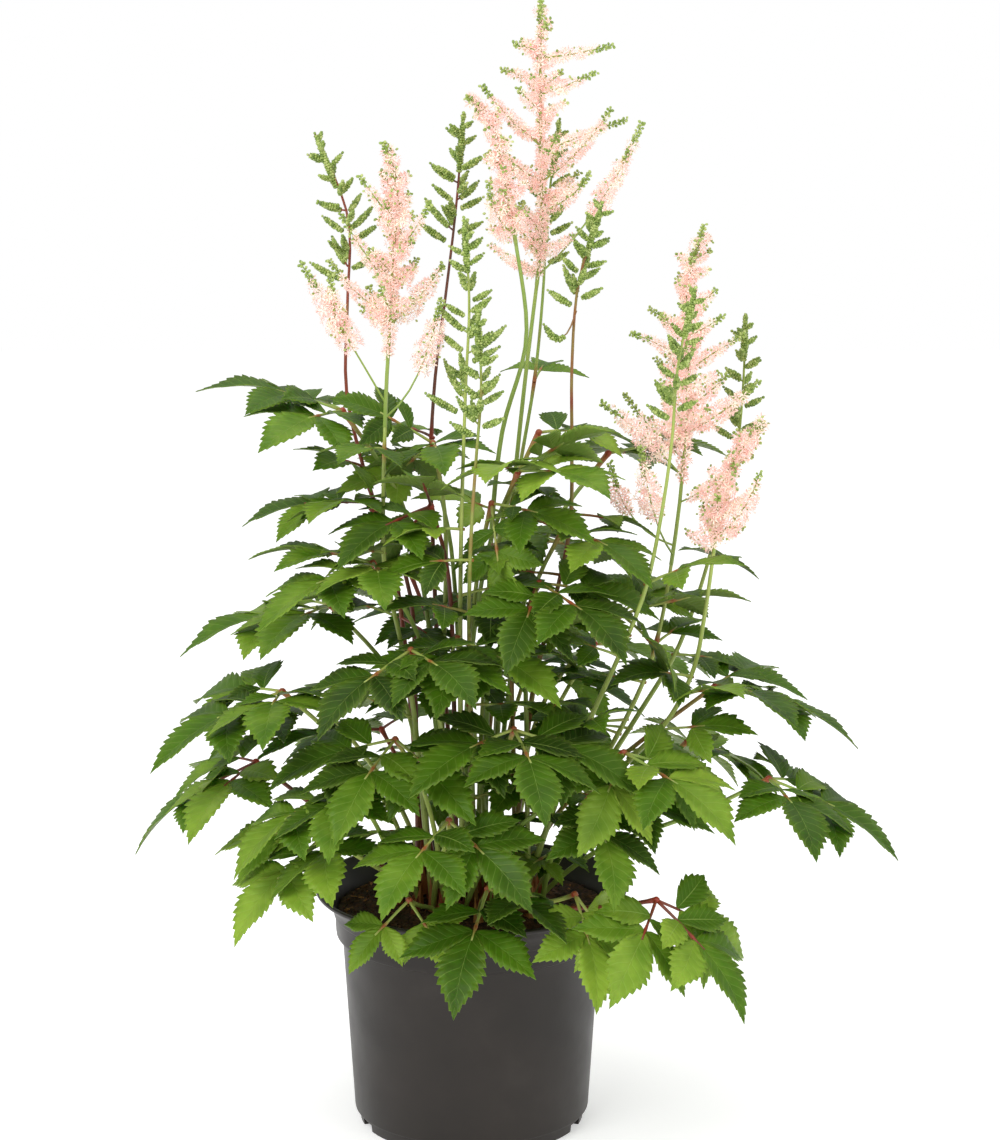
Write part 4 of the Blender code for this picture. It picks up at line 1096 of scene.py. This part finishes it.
# bloom is the height where a head starts; rise is the angle of its branches
# sprays are its long branches, each with its path, thickness and bare share; more are only in the looks
flowers = (
    {"name": "tall", "bloom": 516, "count": 10, "reach": 36, "thick": 6.0, "rise": 32, "pink": True,
     "stalk": 0.62,
     "path": ((20, -5, 327), (32, 0, 456), (38, 5, 506), (42, 8, 548), (41, 10, 617), (41, 10, 681)),
     "sprays": ((((44, 8, 521), (78, -2, 556), (100, -8, 612)), 7.5, 0.42),
                (((43, 10, 596), (22, 5, 612), (7, 0, 632)), 4.8, 0.15),
                (((42, 10, 575), (66, 8, 592), (82, 6, 618)), 5.3, 0.15)),
     "more": (((41, 10, 645), (62, 6, 649), (83, 4, 655)), ((41, 10, 628), (58, 0, 632), (73, -4, 640)),
              ((41, 10, 590), (62, 14, 601), (92, 16, 611)), ((41, 10, 634), (30, 16, 636), (18, 20, 640)),
              ((41, 10, 652), (33, 4, 653), (25, 2, 656)),
              ((41, 10, 560), (60, -12, 566), (70, -18, 584)))},
    {"name": "tall_left", "bloom": 545, "count": 7, "reach": 15, "thick": 7.4, "rise": 50, "pink": True,
     "stalk": 0.55,
     "path": ((14, -18, 400), (32, -24, 460), (32, -25, 498), (26, -28, 548), (18, -28, 589),
              (12, -28, 616),
              (-2, -30, 628)),
     "sprays": ((((26, -28, 549), (14, -34, 556), (11, -36, 580)), 7.4, 0.1),)},
    {"name": "left_pink", "bloom": 440, "count": 10, "reach": 25, "thick": 7.4, "rise": 40, "pink": True,
     "bare": 0.34, "stalk": 0.8,
     "path": ((-36, -24, 280), (-50, -34, 350), (-49, -42, 443), (-46, -45, 496), (-44, -45, 536),
              (-41, -45, 577), (-49, -45, 604)),
     "sprays": ((((-48, -43, 452), (-68, -52, 490), (-96, -60, 537)), 9.2, 0.38),
                (((-70, -50, 492), (-78, -58, 500), (-79, -60, 530)), 8.0, 0.0),
                (((-46, -45, 499), (-32, -36, 508), (-15, -30, 532)), 8.0, 0.1),
                (((-48, -42, 444), (-27, -52, 462), (-16, -57, 516)), 8.7, 0.45)),
     "more": (((-46, -45, 520), (-62, -40, 540), (-74, -36, 562)),
              ((-44, -45, 536), (-32, -50, 552), (-22, -54, 570)),
              ((-45, -45, 505), (-66, -30, 512), (-82, -24, 534)),
              ((-42, -45, 560), (-54, -52, 572), (-62, -56, 586)))},
    {"name": "right_pink", "bloom": 350, "count": 11, "reach": 38, "thick": 7.2, "rise": 34, "pink": True,
     "bare": 0.34, "stalk": 0.85,
     "path": ((70, -12, 210), (106, -10, 285), (120, -5, 352), (126, 0, 405), (129, 5, 447), (127, 10, 488),
              (130, 15, 523), (138, 20, 549)),
     "sprays": ((((125, 0, 402), (104, -14, 430), (76, -28, 451)), 8.6, 0.2),
                (((121, -5, 356), (106, -34, 378), (99, -45, 428)), 9.8, 0.42),
                (((121, -4, 360), (90, -14, 372), (82, -20, 414)), 7.1, 0.5),
                (((128, 5, 428), (150, 12, 436), (172, 16, 456)), 8.0, 0.1)),
     "more": (((128, 10, 470), (112, 0, 482), (94, -4, 488)),
              ((128, 10, 482), (118, 20, 492), (106, 26, 498)),
              ((128, 10, 484), (140, 2, 490), (149, -2, 498)),
              ((128, 8, 462), (146, 20, 474), (164, 26, 483)),
              ((126, 4, 410), (106, 22, 426), (92, 30, 446)),
              ((124, 0, 388), (146, -14, 398), (160, -22, 416)))},
    {"name": "right_low_pink", "bloom": 364, "count": 6, "reach": 20, "thick": 8.4, "rise": 42,
     "pink": True,
     "stalk": 0.8,
     "path": ((80, -24, 215), (124, -28, 268), (135, -31, 307), (140, -34, 339), (144, -36, 375),
              (146, -36, 400), (158, -34, 424), (173, -32, 440)),
     "sprays": ((((144, -36, 372), (160, -46, 385), (168, -52, 414)), 8.3, 0.15),)},
    {"name": "left_buds", "bloom": 512, "count": 7, "reach": 30, "thick": 2.6, "rise": 24, "stalk": 0.2,
     "path": ((-44, 14, 330), (-72, 20, 430), (-73, 22, 504), (-70, 22, 527), (-72, 20, 552),
              (-78, 20, 577),
              (-91, 20, 602))},
    {"name": "middle_left_buds", "bloom": 534, "count": 7, "reach": 27, "thick": 2.6, "rise": 26,
     "stalk": 0.08,
     "path": ((-22, 20, 330), (-24, 28, 420), (-17, 30, 491), (-9, 30, 544), (-8, 30, 580), (-4, 30, 613))},
    {"name": "middle_buds", "bloom": 446, "count": 8, "reach": 31, "thick": 2.6, "rise": 28, "stalk": 0.85,
     "path": ((-6, -34, 280), (-5, -56, 380), (-3, -60, 440), (-2, -60, 469), (0, -60, 521),
              (-3, -60, 562))},
    {"name": "front_buds", "bloom": 440, "count": 7, "reach": 20, "thick": 2.3, "rise": 34, "stalk": 0.4,
     "path": ((0, -42, 270), (0, -80, 360), (4, -92, 430), (6, -94, 455), (7, -95, 480), (5, -96, 514))},
    {"name": "right_middle_buds", "bloom": 505, "count": 7, "reach": 22, "thick": 2.6, "rise": 34,
     "stalk": 0.3,
     "path": ((38, -20, 280), (58, -28, 370), (59, -30, 464), (62, -30, 514), (68, -30, 545),
              (76, -30, 567)),
     "sprays": ((((59, -30, 462), (54, -36, 478), (43, -40, 498)), 2.6, 0.5),)},
    {"name": "back_buds", "bloom": 512, "count": 7, "reach": 24, "thick": 2.6, "rise": 30, "stalk": 0.5,
     "path": ((20, 26, 330), (38, 42, 450), (43, 45, 500), (45, 45, 543), (49, 46, 586), (53, 46, 608))},
    {"name": "right_front_buds", "bloom": 446, "count": 6, "reach": 19, "thick": 2.4, "rise": 32,
     "stalk": 0.75,
     "path": ((58, -34, 230), (98, -62, 335), (110, -72, 392), (117, -74, 450), (119, -74, 487),
              (122, -74, 510), (128, -74, 524))},
    {"name": "far_right_buds", "bloom": 410, "count": 7, "reach": 20, "thick": 2.4, "rise": 30,
     "stalk": 0.7,
     "path": ((84, 22, 220), (128, 38, 290), (148, 52, 352), (160, 58, 395), (165, 60, 436),
              (166, 60, 489))},
)
# azimuth and height of the small leaf on a stem
stemLeaves = {
    "tall": (315, 384), "left_pink": (250, 425), "left_buds": (160, 388), "middle_left_buds": (130, 420),
    "right_pink": (60, 300), "back_buds": (75, 452), "right_middle_buds": (345, 384),
}
# young leaves low on the stems
sprigs = {
    "number": 6,
    "lowest": 170,
    "highest": 405,
    "underBloom": 60,
    "azimuth": (175, 365),
    "rise": (-0.1, 0.5),
    "twist": (-25, 25),
    "stalk": (14, 26),
    "size": (0.58, 0.82),
    "tone": (0.3, 0.75),
}
stemLook = {
    "radius": 2.0,
    "slimmer": {"pink": 0.9, "buds": 1.4},
    "fine": 40,
    "points": 8,
    "spacing": {"pink": 11.0, "buds": 16.0},  # of the corners along a branch of the solids
    "leafSize": 0.72,
    "leafStalk": 16.0,
    "jointReach": 5,
    "small": 16,
    "catkin": 1.9,
    "moreThick": 4.8,
    "bends": 14,
    "bendStep": 13,
    "bendShrink": 0.95,
}


def plumeBranches(flower, axis):
    # the same spiral of side branches as in the solids
    made = []
    fine = evenly(axis, 40)
    draw = random.Random(flower["name"])
    bare = flower.get("bare", 0.08)
    rise = math.radians(flower["rise"])
    for k in range(flower["count"]):
        share = bare + (0.93 - bare) * (k + 0.3) / flower["count"]
        at, along = headingAt(fine, share)
        turn = math.radians(goldenDegrees * k + draw.uniform(-14, 14))
        reach = flower["reach"] * (1 - 0.78 * (share - bare) / (1 - bare)) * draw.uniform(0.88, 1.08)
        way = across(along, turn) * math.cos(rise) + along * math.sin(rise)
        end = at + way * reach + Vector((0, 0, 0.10 * reach))
        via = at + way * reach * 0.55 - Vector((0, 0, 0.06 * reach))
        thick = flower["thick"] * (0.72 + 0.28 * reach / flower["reach"])
        made.append((bend(at, via, end, 4), thick, 0.0))
    reached = list(fine)
    for (start, via, end), thick, bareShare in flower.get("sprays", ()):
        root = min(reached, key=lambda point: (point - Vector(start)).length)
        path = bend(root, via, end, 7)
        reached += path[2:5]
        made.append((path, thick, bareShare))
    return made


def branchAsBuilt(tree, branch, thick, spacing):
    # the turn and slimming whose end is a corner of the CAD plume
    root = branch[0]
    for k in range(stemLook["bends"]):
        turn = Matrix.Rotation(math.radians(stemLook["bendStep"] * (-1) ** k * ((k + 1) // 2)), 3, "Z")
        slim = stemLook["bendShrink"] ** k
        path = [root + turn @ (point - root) * (0.4 + 0.6 * slim) for point in branch]
        points = smoothPath(path, max(3, round(lengthOf(path) / spacing) + 1))
        tipReach = 0.336 * thick * slim
        if isThere(tree, points[-1] + (points[-1] - points[-2]).normalized() * tipReach):
            return path, thick * slim
    return None


def levelFrame(azimuth, rise):
    # a heading and the normal over it
    heading = Vector((math.cos(azimuth), math.sin(azimuth), rise)).normalized()
    side = Vector((0, 0, 1)).cross(heading).normalized()
    return heading, heading.cross(side).normalized()


def addSprigs(pile, number, flower, line):
    draw = random.Random(500 + number)
    lowest, highest = sprigs["lowest"], min(flower["bloom"] - sprigs["underBloom"], sprigs["highest"])
    for k in range(sprigs["number"]):
        height = lowest + (highest - lowest) * (k + draw.random()) / sprigs["number"]
        place = cutAtHeight(line, height)[0][-1]
        turn = math.radians(draw.uniform(*sprigs["azimuth"]))
        heading, normal = levelFrame(turn, draw.uniform(*sprigs["rise"]))
        heading, normal = turnedFrame(heading, normal, 0, draw.uniform(*sprigs["twist"]), 0)
        stalk, size = draw.uniform(*sprigs["stalk"]), draw.uniform(*sprigs["size"])
        tone = draw.uniform(*sprigs["tone"])
        addBranch(pile, place, heading, normal, stalk, size, draw, tone, flower["stalk"], (), "light")


def addStemLeaf(pile, flower, tree, green, draw):
    azimuth, height = stemLeaves[flower["name"]]
    place = cutAtHeight(green, height)[0][-1]
    heading, normal = levelFrame(math.radians(azimuth), 0.25)
    stalk = stemLook["leafStalk"]
    branch = findBranch(tree, height, place, heading, normal, stalk, stemLook["leafSize"], 0.0)
    if branch is None:
        print("no stem leaf on", flower["name"])
        return
    origin, ahead, up, used = branch
    addBranch(pile, origin, ahead, up, stalk, used, draw, 0.5, flower["stalk"], ())


def addStem(pile, flower, line):
    last = len(line) - 1
    slimmer = stemLook["slimmer"]["pink" if flower.get("pink") else "buds"]
    radii = [stemLook["radius"] - slimmer * i / last for i in range(len(line))]
    marks = [0.55 * max(0.0, 1 - i / 3) for i in range(len(line))]
    if flower["name"] in stemLeaves:
        # the joint that carries the small leaf
        jointHeight = stemLeaves[flower["name"]][1]
        for i, point in enumerate(line):
            if abs(point.z - jointHeight) < stemLook["jointReach"]:
                marks[i] = 0.9
                radii[i] *= 1.25
    tubeAlong(pile, line, radii, 8, flower["stalk"], marks)


def dressHead(pile, flower, tree, upper, draw):
    # the branches of the solids, then those that are only in the looks
    pink = flower.get("pink")
    spacing = stemLook["spacing"]["pink" if pink else "buds"]
    found = 0
    for branch, thick, bare in plumeBranches(flower, upper):
        built = branchAsBuilt(tree, branch, thick, spacing)
        if built is None:
            continue
        found += 1
        line, thick = built
        if pink:
            tubeAlong(pile, smoothPath(line, 8), [0.7 - 0.05 * i for i in range(8)], 5, 0.6)
            dressPink(pile, line, thick, bare, draw)
        else:
            tubeAlong(pile, smoothPath(line, 8), [0.6 - 0.04 * i for i in range(8)], 5, flower["stalk"])
            dressCatkin(pile, line, stemLook["catkin"], max(bare, 0.16), draw)
    print(flower["name"], "branches", found)
    fine = evenly(upper, 40)
    for start, via, end in flower.get("more", ()):
        root = min(fine, key=lambda point: (point - Vector(start)).length)
        line = bend(root, via, end, 7)
        tubeAlong(pile, smoothPath(line, 8), [0.6 - 0.04 * i for i in range(8)], 5, 0.6)
        dressPink(pile, line, stemLook["moreThick"], 0.12, draw, 0.74)
    # short side branches fill the spaces between the long ones
    bareShare = flower.get("bare", 0.0)
    for k in range(stemLook["small"]):
        share = bareShare + (0.98 - bareShare) * (k + 0.5) / stemLook["small"]
        at, along = headingAt(fine, share)
        out = (across(along, math.radians(goldenDegrees * k + 60)) + along * 0.40).normalized()
        long = (0.80 if pink else 0.66) * flower["reach"] * (1 - 0.85 * share) + 4
        line = bend(at, at + out * long * 0.5, at + out * long + Vector((0, 0, 0.12 * long)), 4)
        if pink:
            dressPink(pile, line, min(flower["thick"] * 0.8, 6.0), 0.0, draw, 0.9)
        else:
            dressCatkin(pile, line, stemLook["catkin"] * (1 - 0.25 * share), 0.2, draw)


def buildPlume(flower, green, upper, draw):
    name = flower["name"]
    pile = newPile()
    dressHead(pile, flower, cadTree("plume_" + name)[0], upper, draw)
    # the axis starts inside the end of the stem below
    axis = smoothPath([green[-1].lerp(upper[0], -2.0), *upper[1:]], 12)
    tubeAlong(pile, axis, [1.25 - 0.05 * i for i in range(12)], 6, 0.6)
    dressPink(pile, upper[:6], 5.0, flower.get("bare", 0.05), draw, 1.2)
    dressPink(pile, upper[5:], flower["thick"] * 0.8, 0.0, draw, 0.55)
    piece = pileToPiece(f"plume_{name}_florets", pile, [floretPetal, leafStalk, greenBud], smooth=False)
    finishPiece(piece, "petal_pink", "plume_" + name)


def buildFlower(number, flower):
    name = flower["name"]
    pink = flower.get("pink")
    tree, foot = cadTree("stem_" + name)
    draw = random.Random(100 + number)
    inside = Vector((foot.x, foot.y, foot.z + leaves["holeDepth"] - 0.5))
    path = [foot] + smoothPath([inside, *flower["path"]], 28)
    lower, upper = cutAtHeight(path, flower["bloom"])
    if pink:
        top = lower[-1] - (lower[-1] - lower[-2]).normalized() * 0.4
        green = [lower[0]] + smoothPath(lower[1:-1] + [top], stemLook["points"])
        upper = smoothPath(upper, 8)
    else:
        green = [lower[0]] + smoothPath(path[1:], stemLook["points"] + 2)
        upper = cutAtHeight(green, flower["bloom"])[1]
    line = smoothPath(green[1:], stemLook["fine"])
    stemPile = newPile()
    addStem(stemPile, flower, line)
    if pink:
        buildPlume(flower, green, upper, draw)
    else:
        dressHead(stemPile, flower, tree, upper, draw)
        dressCatkin(stemPile, upper[-2:], stemLook["catkin"], 0.35, draw)
    leafPile = newPile()
    addSprigs(leafPile, number, flower, line)
    if name in stemLeaves:
        addStemLeaf(leafPile, flower, tree, green, draw)
    finishPiece(pileToPiece("stemLeaves_" + name, leafPile, [leafBlade, leafStalk]), "leaf_green")
    piece = pileToPiece(f"stem_{name}_fine", stemPile, [leafBlade, leafStalk, greenBud])
    finishPiece(piece, "stem_green" if pink else "bud_green", "stem_" + name)
    return foot


stemFeet = [buildFlower(flowerNumber, flower) for flowerNumber, flower in enumerate(flowers)]
print("flowers built")


# papery sheaths round the stem feet

sheath = {
    "height": (8.0, 17.0),
    "below": 2.0,
    "foot": 3.3,
    "top": 2.3,
    "sides": 7,
    "wall": 0.4,
    "ragged": (-0.35, 0.25),  # how far the corners of the top stand down and up
}


def buildSheaths():
    draw = random.Random(77)
    pile = newPile()
    places = enumerate(leaves["places"], 1)
    leafFeet = [cadTree(f"leaf_{number:02d}_{leaf[0]}")[1] for number, leaf in places]
    sides, wall = sheath["sides"], sheath["wall"]
    for foot in stemFeet + leafFeet:
        ground = soilHeight(foot.x, foot.y)
        tall = draw.uniform(*sheath["height"])
        spin = draw.uniform(*anyTurn)
        points, faces = [], []
        for radius, atTop in ((sheath["foot"], False), (sheath["top"], True),
                              (sheath["top"] - wall, True), (sheath["foot"] - wall, False)):
            for k in range(sides):
                turn = spin + fullTurn * k / sides
                up = tall + tall * sheath["ragged"][k % 2] if atTop else -sheath["below"]
                x, y = foot.x + radius * math.cos(turn), foot.y + radius * math.sin(turn)
                points.append((x, y, ground + up))
        for ring in range(4):
            for k in range(sides):
                a, b = ring * sides + k, ring * sides + (k + 1) % sides
                c, d = (a + sides) % (4 * sides), (b + sides) % (4 * sides)
                faces.append((a, b, d, c))
        addToPile(pile, points, faces, tone=draw.random())
    finishPiece(pileToPiece("stemSheaths", pile, [stemSheath], smooth=False), "stem_green")


buildSheaths()
print("sheaths built")


# stage, light and camera

stage = {
    "floor": 6.0,
    "floorGrey": 0.90,
    "floorGlow": 0.40,
    "ambient": 0.60,
    "aim": (0, 0, 0.32),
    # place, size and power
    "lamps": {
        "keyLight": ((-1.1, -1.7, 1.9), 1.3, 36.0),
        "fillLight": ((1.7, -1.2, 1.1), 1.5, 11.0),
        "topLight": ((0.1, 0.6, 2.4), 1.6, 16.0),
    },
    "camera": (0.0175, -2.0, 0.794),
    "pitch": 12.67,
    "lens": 108.3158,
}


def buildFloor():
    deselectAll()
    bpy.ops.mesh.primitive_plane_add(size=stage["floor"], location=(0, 0, 0))
    floor = bpy.context.active_object
    floor.name = "floor"
    material, _, shader = newMaterial("paleFloor", 0.8)
    grey = stage["floorGrey"]
    shader.inputs["Base Color"].default_value = (grey, grey, grey, 1)
    shader.inputs["Emission Color"].default_value = (1.0, 1.0, 1.0, 1)
    shader.inputs["Emission Strength"].default_value = stage["floorGlow"]
    floor.data.materials.append(material)


def buildLight():
    world = bpy.data.worlds.new("studio")
    bpy.context.scene.world = world
    world.use_nodes = True
    tree = world.node_tree
    # the backdrop is plain white, and lights the plant less than it shows
    seen = node(tree, "ShaderNodeLightPath").outputs["Is Camera Ray"]
    strength = mathNode(tree, "MULTIPLY_ADD", seen, 1.0 - stage["ambient"], stage["ambient"])
    tree.nodes["Background"].inputs["Color"].default_value = (1.0, 1.0, 1.0, 1)
    tree.links.new(strength, tree.nodes["Background"].inputs["Strength"])
    for name, (place, size, power) in stage["lamps"].items():
        bpy.ops.object.light_add(type="AREA", location=place)
        lamp = bpy.context.active_object
        lamp.name = name
        lamp.data.size = size
        lamp.data.energy = power
        aim = Vector(stage["aim"]) - Vector(place)
        lamp.rotation_euler = aim.to_track_quat("-Z", "Y").to_euler()


def placeCamera():
    tilt = math.radians(90 - stage["pitch"])
    bpy.ops.object.camera_add(location=stage["camera"], rotation=(tilt, 0, 0))
    viewer = bpy.context.active_object
    viewer.data.sensor_width = 36.0
    viewer.data.lens = stage["lens"]
    bpy.context.scene.camera = viewer


buildFloor()
buildLight()
placeCamera()
bpy.context.scene.view_settings.view_transform = "Standard"
print("stage ready")
